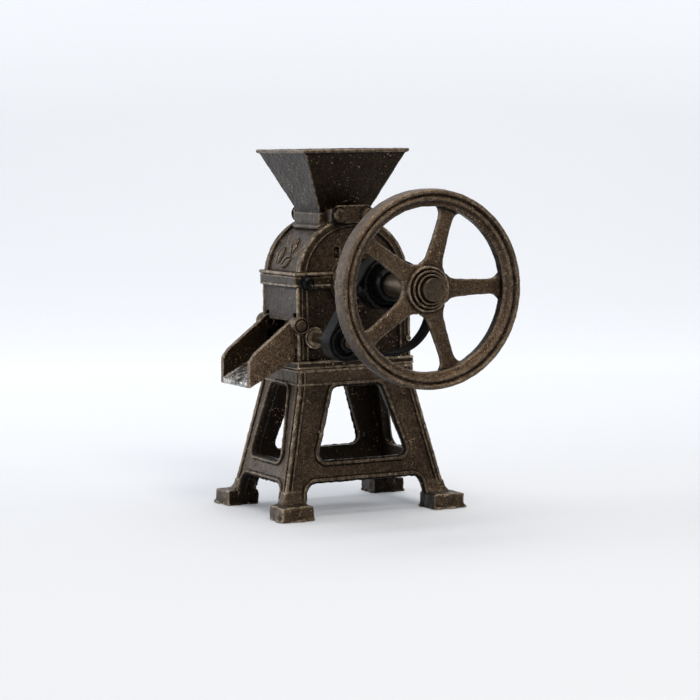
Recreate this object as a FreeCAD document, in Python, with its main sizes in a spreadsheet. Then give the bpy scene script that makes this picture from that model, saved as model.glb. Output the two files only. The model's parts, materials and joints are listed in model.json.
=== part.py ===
import FreeCAD, Part
import math
import os
import re

import Sketcher

# Belt-driven hand crank coffee mill with a flywheel, in millimetres.
# +Z is up, the chute points along -Y, the flywheel stands on the +X side and the crank on -X.
# The origin is the middle of the mill's box, on the surface it stands on.

Vector = FreeCAD.Vector
os.makedirs("parts", exist_ok=True)
doc = FreeCAD.newDocument("coffee_mill")

# ---------------------------------------------------------------- driving dimensions
SIZES = [
    # stand
    ("stand_top", 144.0, "top face of the stand"),
    ("plinth_low", 128.0, "bottom of the upright plinth"),
    ("stand_half_x", 44.4, "plinth half width across"),
    ("stand_half_y", 62.4, "plinth half length"),
    ("leg_foot_x", 62.5, "leg corner at the top of the pads, across"),
    ("leg_foot_y", 88.5, "leg corner at the top of the pads, along"),
    ("stand_wall", 8.0, "wall of the cast frame"),
    ("pad_high", 15.0, "height of the foot pads"),
    ("pad_in_x", 50.0, "inner edge of a pad, across"),
    ("pad_out_x", 82.0, "outer edge of a pad, across"),
    ("pad_in_y", 66.0, "inner edge of a pad, along"),
    ("pad_out_y", 100.5, "outer edge of a pad, along"),
    ("win_top", 126.0, "upper edge of the leg windows"),
    ("win_low", 54.0, "lower edge of the leg windows"),
    ("win_x_top", 18.0, "half width of the end windows at the top"),
    ("win_x_low", 36.0, "half width of the end windows at the bottom"),
    ("win_y_top", 25.5, "half width of the side windows at the top"),
    ("win_y_low", 51.0, "half width of the side windows at the bottom"),
    ("gate_top", 34.0, "top of the opening under the rails"),
    ("gate_x", 50.5, "half width of the end openings under the rails"),
    ("gate_y", 68.0, "half width of the side openings under the rails"),
    ("corner_soft", 8.0, "rounding of the window corners"),
    # housing
    ("parting", 236.0, "joint between lower and upper housing"),
    ("base_flange_top", 152.0, "top of the base flange"),
    ("base_flange_x", 44.6, "base flange half width"),
    ("base_flange_y", 64.2, "base flange half length"),
    ("body_x", 40.8, "housing half width"),
    ("body_y", 61.5, "housing half length"),
    ("inner_x", 33.5, "half width of the hollow"),
    ("inner_y", 55.0, "half length of the hollow"),
    ("panel_deep", 2.5, "depth of the side panels"),
    ("rib_y", 50.5, "inner edge of the side ribs"),
    ("rim_low", 225.0, "bottom of the rim band"),
    ("rim_x", 41.8, "rim band half width"),
    ("rim_y", 65.0, "rim band half length"),
    ("floor_low", 159.5, "inner floor at the outlet"),
    ("floor_high", 200.0, "inner floor at the back wall"),
    ("outlet_top", 199.0, "top of the outlet"),
    ("outlet_x", 36.1, "half width of the outlet"),
    ("brow_low", 190.5, "edge of the wall between the chute's cheeks"),
    # upper housing
    ("arch_z", 231.75, "centre height of the arch"),
    ("arch_r", 60.5, "outer radius of the end ribs"),
    ("barrel_r", 58.0, "outer radius of the barrel"),
    ("arch_in_r", 53.0, "inner radius of the barrel"),
    ("end_rib_x", 33.9, "inner edge of the end ribs"),
    ("dome_flange_top", 239.5, "top of the upper flange"),
    ("dome_flange_x", 44.0, "upper flange half width"),
    ("dome_flange_y", 65.3, "upper flange half length"),
    ("face_deep", 2.2, "depth of the arch face inside its rib"),
    ("face_r", 52.0, "radius of the sunken arch face"),
    # hopper
    ("hopper_top", 360.0, "rim of the hopper"),
    ("hopper_low", 297.0, "foot of the hopper's slopes"),
    ("hopper_half", 55.4, "half side at the rim"),
    ("hopper_neck", 26.6, "half side at the foot"),
    ("hopper_wall", 3.4, "wall of the hopper"),
    ("hopper_rim", 57.9, "half side of the rim lip"),
    ("hopper_shift", -2.5, "hopper centre along Y"),
    ("neck_flange", 29.0, "half side of the neck flange"),
    ("ear_x", 47.0, "outer face of the saddle ears"),
    ("saddle_bolt_y", 15.0, "saddle bolts from the hopper centre"),
    ("saddle_bolt_z", 294.5, "height of the saddle bolts"),
    # chute
    ("pivot_y", -60.0, "chute pins along Y"),
    ("pivot_z", 187.5, "chute pins height"),
    ("pin_r", 4.0, "chute pin radius"),
    ("cheek_out", 35.7, "outer face of the chute cheeks"),
    ("cheek_in", 29.7, "inner face of the chute cheeks"),
    ("lip_y", -112.5, "front edge of the chute"),
    # running gear
    ("shaft_z", 229.0, "height of the main shaft"),
    ("shaft_r", 11.0, "main shaft radius"),
    ("fit", 0.05, "radial running clearance"),
    ("bush_r", 14.0, "outer radius of the main bushes"),
    ("spigot_r", 16.0, "bearing spigot radius"),
    ("boss_x", 62.0, "outer end of the bearing bosses"),
    ("shaft_end", 210.0, "flywheel end of the main shaft"),
    ("crank_end", -104.0, "crank end of the main shaft"),
    ("wheel_r", 94.0, "flywheel radius"),
    ("wheel_back", 189.0, "back face of the rim"),
    ("wheel_front", 209.4, "front face of the rim"),
    ("belt_x", 96.0, "inner edge of the belt"),
    ("belt_wide", 18.0, "belt width"),
    ("belt_thick", 2.5, "belt thickness"),
    ("main_pulley_r", 25.0, "driving pulley radius"),
    ("small_pulley_r", 15.5, "driven pulley radius"),
    ("belt_gap", 0.3, "gap between belt and pulleys"),
    ("slack_r", 44.0, "radius of the slack run's bow"),
    ("slack_y", 6.0, "centre of the bow along Y"),
    ("slack_z", 207.0, "height of the bow's centre"),
    ("counter_y", -45.0, "countershaft along Y"),
    ("counter_z", 175.0, "countershaft height"),
    ("counter_r", 5.0, "countershaft radius"),
    ("counter_bush_r", 8.5, "outer radius of the countershaft bushes"),
    ("crank_len", 99.5, "throw of the crank"),
    ("crank_pin_r", 4.5, "crank pin radius"),
    ("grip_end", -210.0, "end of the crank pin"),
    ("burr_r", 40.0, "burr radius"),
    ("burr_gap", 0.6, "gap between the burrs"),
]

sheet = doc.addObject("Spreadsheet::Sheet", "dims")
for row, (alias, value, note) in enumerate(SIZES, start=1):
    sheet.set("A%d" % row, alias)
    sheet.set("B%d" % row, repr(value))
    sheet.set("C%d" % row, note)
    sheet.setAlias("B%d" % row, alias)
doc.recompute()
ALIASES = {alias for alias, value, note in SIZES}


def num(expr):
    """The value of an expression over the sheet's aliases."""
    return float(sheet.evalExpression(str(expr)))


def full(expr):
    """The same expression as the other objects write it, with the sheet's name."""
    return re.sub(r"[a-z_]+", lambda m: "dims." + m.group(0) if m.group(0) in ALIASES else m.group(0),
                  str(expr))


def bind(obj, prop, expr):
    obj.setExpression(prop, full(expr))


# ---------------------------------------------------------------- building helpers
def box(name, x0, x1, y0, y1, z0, z1):
    """A block between six planes."""
    obj = doc.addObject("Part::Box", name)
    for prop, low, high in (("Length", x0, x1), ("Width", y0, y1), ("Height", z0, z1)):
        bind(obj, prop, "(%s) - (%s)" % (high, low))
    for axis, low in (("x", x0), ("y", y0), ("z", z0)):
        bind(obj, "Placement.Base." + axis, low)
    return obj


TURNS = {"x": FreeCAD.Rotation(Vector(0, 1, 0), 90), "y": FreeCAD.Rotation(Vector(1, 0, 0), -90),
         "z": FreeCAD.Rotation()}


def cylinder(name, axis, radius, start, end, across=("0", "0")):
    """A cylinder along an axis; across holds the two other coordinates in order."""
    obj = doc.addObject("Part::Cylinder", name)
    bind(obj, "Radius", radius)
    bind(obj, "Height", "(%s) - (%s)" % (end, start))
    obj.Placement = FreeCAD.Placement(Vector(), TURNS[axis])
    others = [a for a in "xyz" if a != axis]
    bind(obj, "Placement.Base." + axis, start)
    for a, value in zip(others, across):
        bind(obj, "Placement.Base." + a, value)
    return obj


def fuse(name, *shapes):
    obj = doc.addObject("Part::MultiFuse", name)
    obj.Shapes = list(shapes)
    obj.Refine = True
    return obj


def cut(name, base, *tools):
    """Base minus the tools; several tools are joined first."""
    obj = doc.addObject("Part::Cut", name)
    obj.Base = base
    obj.Tool = tools[0] if len(tools) == 1 else group(name + "_tools", *tools)
    obj.Refine = True
    return obj


def common(name, one, other):
    obj = doc.addObject("Part::MultiCommon", name)
    obj.Shapes = [one, other]
    return obj


def group(name, *shapes):
    """Separate solids kept side by side in one object."""
    obj = doc.addObject("Part::Compound", name)
    obj.Links = list(shapes)
    return obj


def mirror(name, source, axis):
    """The source mirrored in the plane through the origin across an axis."""
    obj = doc.addObject("Part::Mirroring", name)
    obj.Source = source
    obj.Normal = {"x": Vector(1, 0, 0), "y": Vector(0, 1, 0)}[axis]
    return obj


def both_sides(name, source, axis):
    return group(name, source, mirror(name + "_far", source, axis))


def four_corners(name, source):
    """The source at all four combinations of +-X and +-Y."""
    along = mirror(name + "_y", source, "y")
    return group(name, source, along, mirror(name + "_x", source, "x"),
                 mirror(name + "_xy", along, "x"))


def plane_of(body, role):
    return [f for f in body.Origin.OriginFeatures if f.Role == role][0]


def polygon(body, name, role, points, offset="0"):
    """A closed sketch whose corners are bound to expressions over the sheet."""
    sketch = body.newObject("Sketcher::SketchObject", name)
    sketch.AttachmentSupport = (plane_of(body, role), [""])
    sketch.MapMode = "FlatFace"
    bind(sketch, "AttachmentOffset.Base.z", offset)
    values = [(num(u), num(v)) for u, v in points]
    count = len(values)
    for i in range(count):
        start = Vector(values[i][0], values[i][1], 0)
        end = Vector(values[(i + 1) % count][0], values[(i + 1) % count][1], 0)
        sketch.addGeometry(Part.LineSegment(start, end), False)
    for i in range(count):
        sketch.addConstraint(Sketcher.Constraint("Coincident", i, 2, (i + 1) % count, 1))
    for i, (u, v) in enumerate(points):
        for kind, expr, value in (("DistanceX", u, values[i][0]), ("DistanceY", v, values[i][1])):
            index = sketch.addConstraint(Sketcher.Constraint(kind, -1, 1, i, 1, value))
            bind(sketch, "Constraints[%d]" % index, expr)
    return sketch


def turned(name, points, y="0", z="0", axis="x", x="0"):
    """A turned piece: points are (station along the axis, radius)."""
    body = doc.addObject("PartDesign::Body", name)
    sketch = polygon(body, name + "_profile", "XZ_Plane", points)
    turn = body.newObject("PartDesign::Revolution", name + "_turn")
    turn.Profile = sketch
    turn.ReferenceAxis = (sketch, ["H_Axis"])
    turn.Angle = 360
    body.Tip = turn
    if axis == "z":
        body.Placement = FreeCAD.Placement(Vector(), FreeCAD.Rotation(Vector(0, 1, 0), -90))
    for coordinate, value in (("x", x), ("y", y), ("z", z)):
        bind(body, "Placement.Base." + coordinate, value)
    return body


def prism_x(name, points, x0, x1):
    """A slab of (y, z) outline between two stations along X."""
    body = doc.addObject("PartDesign::Body", name)
    sketch = polygon(body, name + "_outline", "YZ_Plane", points, x0)
    pad = body.newObject("PartDesign::Pad", name + "_pad")
    pad.Profile = sketch
    bind(pad, "Length", "(%s) - (%s)" % (x1, x0))
    body.Tip = pad
    return body


def frustum(name, low, low_x, low_y, high, high_x, high_y, y="0"):
    """A rectangular loft between two levels, given by half widths."""
    body = doc.addObject("PartDesign::Body", name)
    sketches = []
    for tag, level, hx, hy in (("low", low, low_x, low_y), ("high", high, high_x, high_y)):
        corners = [("-(%s)" % hx, "-(%s)" % hy), (hx, "-(%s)" % hy), (hx, hy), ("-(%s)" % hx, hy)]
        sketches.append(polygon(body, name + "_" + tag, "XY_Plane", corners, level))
    loft = body.newObject("PartDesign::AdditiveLoft", name + "_loft")
    loft.Profile = sketches[0]
    loft.Sections = [sketches[1]]
    loft.Ruled = True
    body.Tip = loft
    bind(body, "Placement.Base.y", y)
    return body


def window(name, role, points, radius, start, length):
    """A slab with rounded corners, used to cut an opening through opposite walls."""
    body = doc.addObject("PartDesign::Body", name)
    sketch = polygon(body, name + "_outline", role, points, start)
    pad = body.newObject("PartDesign::Pad", name + "_pad")
    pad.Profile = sketch
    bind(pad, "Length", length)
    doc.recompute()
    normal = Vector(1, 0, 0) if role == "YZ_Plane" else Vector(0, 1, 0)
    edges = []
    for i, edge in enumerate(pad.Shape.Edges):
        if abs(edge.tangentAt(edge.FirstParameter).dot(normal)) > 0.99 and edge.CenterOfMass.z > 6:
            edges.append("Edge%d" % (i + 1))
    fillet = body.newObject("PartDesign::Fillet", name + "_soft")
    fillet.Base = (pad, edges)
    bind(fillet, "Radius", radius)
    body.Tip = fillet
    return body


def label(obj, node):
    obj.Label = node
    NODES.append(obj)
    return obj


NODES = []

# ---------------------------------------------------------------- stand and its bolts
leg_outer = frustum("leg_outer", "0", "leg_foot_x + 2", "leg_foot_y + 3.4",
                    "plinth_low", "stand_half_x", "stand_half_y")
leg_inner = frustum("leg_inner", "-1", "leg_foot_x + 2.1 - stand_wall", "leg_foot_y + 3.6 - stand_wall",
                    "plinth_low", "stand_half_x - stand_wall", "stand_half_y - stand_wall")
plinth = box("plinth", "-stand_half_x", "stand_half_x", "-stand_half_y", "stand_half_y",
             "plinth_low", "stand_top")
plinth_hollow = box("plinth_hollow", "stand_wall - stand_half_x", "stand_half_x - stand_wall",
                    "stand_wall - stand_half_y", "stand_half_y - stand_wall",
                    "plinth_low - 1", "stand_top - stand_wall")
win_side = window("win_side", "YZ_Plane",
                  [("-win_y_low", "win_low"), ("win_y_low", "win_low"), ("win_y_top", "win_top"),
                   ("-win_y_top", "win_top")], "corner_soft", "-100", "200")
win_end = window("win_end", "XZ_Plane",
                 [("-win_x_low", "win_low"), ("win_x_low", "win_low"), ("win_x_top", "win_top"),
                  ("-win_x_top", "win_top")], "corner_soft", "-100", "200")
gate_side = window("gate_side", "YZ_Plane",
                   [("-gate_y", "-2"), ("gate_y", "-2"), ("gate_y - 5", "gate_top"),
                    ("5 - gate_y", "gate_top")], "14", "-100", "200")
gate_end = window("gate_end", "XZ_Plane",
                  [("-gate_x", "-2"), ("gate_x", "-2"), ("gate_x - 5", "gate_top"),
                   ("5 - gate_x", "gate_top")], "14", "-100", "200")
pad = box("pad", "pad_in_x", "pad_out_x", "pad_in_y", "pad_out_y", "0", "pad_high")
pads = four_corners("pads", pad)
stand_bolt = turned("stand_bolt", [("131", "0"), ("131", "6.4"), ("136", "6.4"), ("136", "3.5"),
                                   ("155", "3.5"), ("155", "0")], y="46", axis="z", x="28")
stand_bolts = label(four_corners("stand_bolts", stand_bolt), "stand_bolts")
stand_shell = cut("stand_shell", fuse("stand_outer", leg_outer, plinth), leg_inner, plinth_hollow,
                  win_side, win_end, gate_side, gate_end)
stand = label(cut("stand", fuse("stand_raw", stand_shell, pads), stand_bolts), "stand")

# ---------------------------------------------------------------- bolts that pass through castings
rim_bolt = turned("rim_bolt", [("24", "0"), ("24", "3"), ("rim_x", "3"), ("rim_x", "6.8"),
                               ("rim_x + 4", "6.8"), ("rim_x + 5.4", "5"), ("rim_x + 5.4", "0")],
                  y="-52", z="229")
rim_bolts = label(four_corners("rim_bolts", rim_bolt), "rim_bolts")
bearing_bolt = turned("bearing_bolt", [("body_x - 5", "0"), ("body_x - 5", "2"), ("48", "2"),
                                       ("48", "3.6"), ("51", "3.6"), ("51.6", "2.6"), ("51.6", "0")],
                      y="15.9", z="shaft_z + 15.9")
bearing_bolt_low = turned("bearing_bolt_low",
                          [("body_x - 5", "0"), ("body_x - 5", "2"), ("48", "2"),
                           ("48", "3.6"), ("51", "3.6"), ("51.6", "2.6"), ("51.6", "0")],
                          y="15.9", z="shaft_z - 15.9")
bearing_bolts = label(group("bearing_bolts", four_corners("bearing_bolts_high", bearing_bolt),
                            four_corners("bearing_bolts_low", bearing_bolt_low)), "bearing_bolts")
chute_pin = turned("chute_pin", [("30.2", "0"), ("30.2", "pin_r"), ("body_x", "pin_r"),
                                 ("body_x", "8.2"), ("body_x + 3.4", "8.2"), ("body_x + 4.6", "7"),
                                 ("body_x + 4.6", "5.4"), ("body_x + 3.6", "5"), ("body_x + 3.6", "0")],
                   y="pivot_y", z="pivot_z")
chute_pins = label(both_sides("chute_pins", chute_pin, "x"), "chute_pins")

# ---------------------------------------------------------------- countershaft bushes
counter_bush = turned("counter_bush", [("inner_x", "counter_r + fit"), ("inner_x", "counter_bush_r"),
                                       ("46.6", "counter_bush_r"), ("46.6", "counter_r + fit")],
                      y="counter_y", z="counter_z")
counter_bushes = label(both_sides("counter_bushes", counter_bush, "x"), "counter_bushes")

# ---------------------------------------------------------------- lower housing
walls = box("walls", "-body_x", "body_x", "-body_y", "body_y", "base_flange_top", "parting")
base_flange = box("base_flange", "-base_flange_x", "base_flange_x", "-base_flange_y", "base_flange_y",
                  "stand_top", "base_flange_top")
rim_band = box("rim_band", "-rim_x", "rim_x", "-rim_y", "rim_y", "rim_low", "parting")
panel = box("panel", "body_x - panel_deep", "body_x + 0.5", "-rib_y", "rib_y",
            "base_flange_top", "rim_low - 2.5")
panels = both_sides("panels", panel, "x")
hollow = prism_x("hollow", [("-body_y - 5", "floor_low"), ("-33", "floor_low"),
                            ("inner_y", "floor_high"), ("inner_y", "parting + 1"),
                            ("-inner_y", "parting + 1"), ("-inner_y", "outlet_top"),
                            ("-body_y - 5", "outlet_top")], "-inner_x", "inner_x")
outlet = box("outlet", "-outlet_x", "outlet_x", "-body_y - 8", "-inner_y + 4", "floor_low",
             "outlet_top")
pivot_ear = cylinder("pivot_ear", "x", "8.6", "outlet_x", "body_x", ("pivot_y", "pivot_z"))
pivot_ears = both_sides("pivot_ears", pivot_ear, "x")
counter_boss = cylinder("counter_boss", "x", "11", "body_x - 4", "46", ("counter_y", "counter_z"))
counter_bosses = both_sides("counter_bosses", counter_boss, "x")
counter_hole = cylinder("counter_hole", "x", "counter_bush_r", "-60", "60", ("counter_y", "counter_z"))
spigot_hole = cylinder("spigot_hole", "x", "spigot_r", "-60", "60", ("0", "shaft_z"))
lower_raw = cut("lower_raw", fuse("lower_blank", walls, base_flange, rim_band), panels, hollow, outlet)
seat = cylinder("seat", "x", "26", "inner_x + 0.5", "body_x", ("0", "shaft_z"))
seats = both_sides("seats", seat, "x")
above = box("above", "-70", "70", "-80", "80", "parting", "320")
seat_clear = cylinder("seat_clear", "x", "26", "body_x", "60", ("0", "shaft_z"))
seats_clear = both_sides("seats_clear", seat_clear, "x")
brow = box("brow", "-29", "29", "-body_y", "-inner_y", "brow_low", "outlet_top")
lower_bossed = fuse("lower_bossed", lower_raw, pivot_ears, counter_bosses, brow,
                    cut("seats_low", seats, above))
housing_lower = label(cut("housing_lower", lower_bossed, seats_clear, counter_hole, spigot_hole, stand_bolts,
                          rim_bolts, bearing_bolts, chute_pins), "housing_lower")

# ---------------------------------------------------------------- hopper and its saddle bolts
saddle_bolt = turned("saddle_bolt", [("33", "0"), ("33", "2.8"), ("ear_x", "2.8"), ("ear_x", "6.4"),
                                     ("ear_x + 3.6", "6.4"), ("ear_x + 4.6", "5.2"),
                                     ("ear_x + 4.6", "0")],
                     y="hopper_shift - saddle_bolt_y", z="saddle_bolt_z")
saddle_bolt_far = turned("saddle_bolt_far",
                         [("33", "0"), ("33", "2.8"), ("ear_x", "2.8"), ("ear_x", "6.4"),
                          ("ear_x + 3.6", "6.4"), ("ear_x + 4.6", "5.2"), ("ear_x + 4.6", "0")],
                         y="hopper_shift + saddle_bolt_y", z="saddle_bolt_z")
hopper_bolts = label(group("hopper_bolts", both_sides("saddle_near", saddle_bolt, "x"),
                           both_sides("saddle_rear", saddle_bolt_far, "x")), "hopper_bolts")
funnel = frustum("funnel", "hopper_low", "hopper_neck", "hopper_neck",
                 "hopper_top - 3.5", "hopper_half", "hopper_half", "hopper_shift")
funnel_hollow = frustum("funnel_hollow", "hopper_low - 0.5", "hopper_neck - hopper_wall",
                        "hopper_neck - hopper_wall", "hopper_top + 1", "hopper_half + 1.9 - hopper_wall",
                        "hopper_half + 1.9 - hopper_wall", "hopper_shift")
lip = box("lip", "-hopper_rim", "hopper_rim", "hopper_shift - hopper_rim", "hopper_shift + hopper_rim",
          "hopper_top - 3.5", "hopper_top")
neck = box("neck", "-neck_flange", "neck_flange", "hopper_shift - neck_flange",
           "hopper_shift + neck_flange", "270", "hopper_low")
tabs = box("tabs", "-body_x", "body_x", "hopper_shift - 22", "hopper_shift + 22",
           "280", "301")
neck_hole = box("neck_hole", "hopper_wall - hopper_neck", "hopper_neck - hopper_wall",
                "hopper_shift - hopper_neck + hopper_wall", "hopper_shift + hopper_neck - hopper_wall",
                "260", "302")
under_barrel = cylinder("under_barrel", "x", "barrel_r", "-end_rib_x", "end_rib_x", ("0", "arch_z"))
under_ribs = cylinder("under_ribs", "x", "arch_r", "end_rib_x", "60", ("0", "arch_z"))
hopper = label(cut("hopper", fuse("hopper_raw", funnel, lip, neck, tabs), funnel_hollow, neck_hole,
                   under_barrel, both_sides("under_both", under_ribs, "x"), hopper_bolts), "hopper")

# ---------------------------------------------------------------- upper housing
barrel = cylinder("barrel", "x", "barrel_r", "-body_x", "body_x", ("0", "arch_z"))
end_rib = cylinder("end_rib", "x", "arch_r", "end_rib_x", "body_x", ("0", "arch_z"))
end_ribs = both_sides("end_ribs", end_rib, "x")
dome_flange = box("dome_flange", "-dome_flange_x", "dome_flange_x", "-dome_flange_y", "dome_flange_y",
                  "parting", "dome_flange_top")
dome_blank = common("dome_blank", fuse("dome_round", barrel, end_ribs), above)
face_cut = cylinder("face_cut", "x", "face_r", "body_x - face_deep", "body_x + 1", ("0", "arch_z"))
face_above = box("face_above", "-70", "70", "-80", "80", "dome_flange_top", "320")
face_cuts = common("face_cuts", fuse("face_pair", face_cut, mirror("face_far", face_cut, "x")),
                   face_above)
EAR = [("hopper_shift - 22.8", "290.4"), ("hopper_shift - 22.8", "298"),
       ("hopper_shift - 17", "304.5"), ("hopper_shift + 17", "304.5"),
       ("hopper_shift + 22.8", "298"), ("hopper_shift + 22.8", "290.4"),
       ("hopper_shift + 18.6", "286.4"), ("hopper_shift - 18.6", "286.4")]
ear = prism_x("ear", EAR, "body_x", "ear_x")
ear_root = prism_x("ear_root", EAR, "body_x - 4", "body_x")
ear_near = fuse("ear_near", ear, common("ear_root_low", ear_root, end_rib))
ears = both_sides("ears", ear_near, "x")
lug = box("lug", "22", "inner_x - 0.1", "-inner_y + 0.1", "-46", "222", "243")
lugs = four_corners("lugs", lug)
dome_hollow = cylinder("dome_hollow", "x", "arch_in_r", "-inner_x", "inner_x", ("0", "arch_z"))
throat = box("throat", "hopper_wall - hopper_neck", "hopper_neck - hopper_wall",
             "hopper_shift - hopper_neck + hopper_wall", "hopper_shift + hopper_neck - hopper_wall",
             "260", "310")
sight = box("sight", "body_x - 6", "body_x + 2", "-20", "-14", "252", "263")
dome_open = cut("dome_open", fuse("dome_all", dome_blank, dome_flange), face_cuts, dome_hollow)
dome_lugged = fuse("dome_lugged", dome_open, ears, lugs, common("seats_high", seats, above))
spigot_hole_high = cylinder("spigot_hole_high", "x", "spigot_r", "-60", "60", ("0", "shaft_z"))
housing_upper = label(cut("housing_upper", dome_lugged, seats_clear, throat, sight, spigot_hole_high, rim_bolts,
                          bearing_bolts, hopper_bolts), "housing_upper")

# ---------------------------------------------------------------- main bearings
BEARING = [("inner_x", "bush_r"), ("inner_x", "spigot_r"), ("body_x", "spigot_r"), ("body_x", "26"),
           ("47", "26"), ("48", "25"), ("48", "19.5"), ("boss_x - 2", "18"), ("boss_x", "17"),
           ("boss_x", "bush_r")]
bearing_blank = turned("bearing_blank", BEARING, z="shaft_z")
bearing_drive = label(cut("bearing_drive", bearing_blank, bearing_bolts), "bearing_drive")
BEARING_FAR = [("-inner_x", "bush_r"), ("-inner_x", "spigot_r"), ("-body_x", "spigot_r"),
               ("-body_x", "26"), ("-47", "26"), ("-48", "25"), ("-48", "18"), ("-boss_x - 4", "18"),
               ("-boss_x - 4", "bush_r")]
bearing_far = turned("bearing_far", BEARING_FAR, z="shaft_z")
bearing_crank = label(cut("bearing_crank", bearing_far, bearing_bolts), "bearing_crank")
main_bush = turned("main_bush", [("inner_x", "shaft_r + fit"), ("inner_x", "bush_r"),
                                 ("boss_x", "bush_r"), ("boss_x", "shaft_r + fit")], z="shaft_z")
main_bushes = label(both_sides("main_bushes", main_bush, "x"), "main_bushes")

# ---------------------------------------------------------------- main shaft and what it carries
key = box("key", "187", "200.5", "-2.5", "2.5", "shaft_z + 8.5", "shaft_z + 13.5")
wheel_key = label(key, "wheel_key")
shaft_blank = turned("shaft_blank", [("crank_end", "0"), ("crank_end", "7"), ("crank_end + 1", "8"),
                                     ("-83", "8"), ("-83", "shaft_r"), ("shaft_end - 1.5", "shaft_r"),
                                     ("shaft_end", "shaft_r - 1.5"), ("shaft_end", "0")], z="shaft_z")
main_shaft = label(cut("main_shaft", shaft_blank, key), "main_shaft")

wheel = doc.addObject("PartDesign::Body", "wheel_body")
hub_sketch = polygon(wheel, "hub_profile", "XZ_Plane",
                     [("186", "shaft_r"), ("186", "20.6"), ("187.5", "22.2"), ("199", "22.2"),
                      ("200.5", "20.8"), ("200.5", "shaft_r")])
hub = wheel.newObject("PartDesign::Revolution", "hub")
hub.Profile = hub_sketch
hub.ReferenceAxis = (hub_sketch, ["H_Axis"])
hub.Angle = 360
spoke_sketch = polygon(wheel, "spoke_outline", "YZ_Plane",
                       [("15", "-9.4"), ("wheel_r - 12", "-6.8"), ("wheel_r - 12", "6.8"),
                        ("15", "9.4")], "189.5")
spoke = wheel.newObject("PartDesign::Pad", "spoke")
spoke.Profile = spoke_sketch
spoke.Length = 6.5
spokes = wheel.newObject("PartDesign::PolarPattern", "spokes")
spokes.Originals = [spoke]
spokes.Axis = (plane_of(wheel, "X_Axis"), [""])
spokes.Angle = 360
spokes.Occurrences = 5
wheel.Tip = spokes
doc.recompute()
rim_sketch = polygon(wheel, "rim_profile", "XZ_Plane",
                     [("wheel_back", "wheel_r - 14"), ("wheel_back", "wheel_r - 1.5"),
                      ("wheel_back + 1.5", "wheel_r"), ("wheel_front - 1.5", "wheel_r"),
                      ("wheel_front", "wheel_r - 1.5"), ("wheel_front", "wheel_r - 6.5"),
                      ("wheel_front - 5", "wheel_r - 7.5"), ("wheel_front - 6.5", "wheel_r - 16.5"),
                      ("wheel_back + 3.5", "wheel_r - 16.5")])
rim = wheel.newObject("PartDesign::Revolution", "rim")
rim.Profile = rim_sketch
rim.ReferenceAxis = (rim_sketch, ["H_Axis"])
rim.Angle = 360
wheel.Tip = rim
bind(wheel, "Placement.Base.z", "shaft_z")
bore_clear = cylinder("bore_clear", "x", "shaft_r", "180", "215", ("0", "shaft_z"))
flywheel = label(cut("flywheel", wheel, bore_clear, key), "flywheel")

hub_collar = label(turned("hub_collar", [("200.5", "shaft_r"), ("200.5", "17.5"), ("202.4", "17.5"),
                                         ("203", "16.9"), ("203", "shaft_r")], z="shaft_z"),
                   "hub_collar")
hub_nut = label(turned("hub_nut", [("203", "shaft_r"), ("203", "14.4"), ("205.2", "14.4"),
                                   ("205.8", "13.7"), ("205.8", "shaft_r")], z="shaft_z"), "hub_nut")
thrust_collar = label(turned("thrust_collar", [("boss_x + 0.3", "shaft_r"), ("boss_x + 0.3", "15"),
                                               ("boss_x + 1", "16"), ("boss_x + 8", "16"),
                                               ("boss_x + 9", "15"), ("boss_x + 9", "shaft_r")],
                             z="shaft_z"), "thrust_collar")
grub = cylinder("grub", "z", "2.2", "shaft_z + shaft_r - 2", "shaft_z + 15.5", ("119", "0"))
pulley_screw = label(grub, "pulley_screw")
pulley_blank = turned("pulley_blank", [("belt_x - 2", "shaft_r"), ("belt_x - 2", "main_pulley_r - 1"),
                                       ("belt_x - 1", "main_pulley_r"),
                                       ("belt_x + belt_wide + 1", "main_pulley_r"),
                                       ("belt_x + belt_wide + 2", "main_pulley_r - 1"),
                                       ("belt_x + belt_wide + 2", "main_pulley_r - 4"),
                                       ("belt_x + belt_wide - 2", "main_pulley_r - 5.5"),
                                       ("belt_x + belt_wide - 2", "17"), ("125", "15.5"), ("126", "14.5"),
                                       ("126", "shaft_r")], z="shaft_z")
main_pulley = label(cut("main_pulley", pulley_blank, grub), "main_pulley")
main_shaft_cut = cut("main_shaft_seat", main_shaft, grub)
NODES.remove(main_shaft)
main_shaft.Label = "main_shaft_keyed"
main_shaft = label(main_shaft_cut, "main_shaft")

# ---------------------------------------------------------------- burrs, carrier and feed paddles
fixed_screw = turned("fixed_screw", [("-6", "0"), ("-6", "4"), ("-4", "2"), ("7", "2"), ("7", "0")])
moving_screw = turned("moving_screw", [("-24", "0"), ("-24", "2"), ("-8.6", "2"), ("-6.6", "4"),
                                       ("-6.6", "0")])


def ring_of(name, source, count, radius):
    """Copies of a piece on a circle about the main shaft."""
    copies = []
    for i in range(count):
        link = doc.addObject("Part::Compound", "%s_%d" % (name, i))
        link.Links = [source]
        turn = math.radians(360.0 / count * i + 90)
        bind(link, "Placement.Base.y", "%r * (%s)" % (round(math.cos(turn), 9), radius))
        bind(link, "Placement.Base.z", "shaft_z + %r * (%s)" % (round(math.sin(turn), 9), radius))
        copies.append(link)
    return group(name, *copies)


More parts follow.
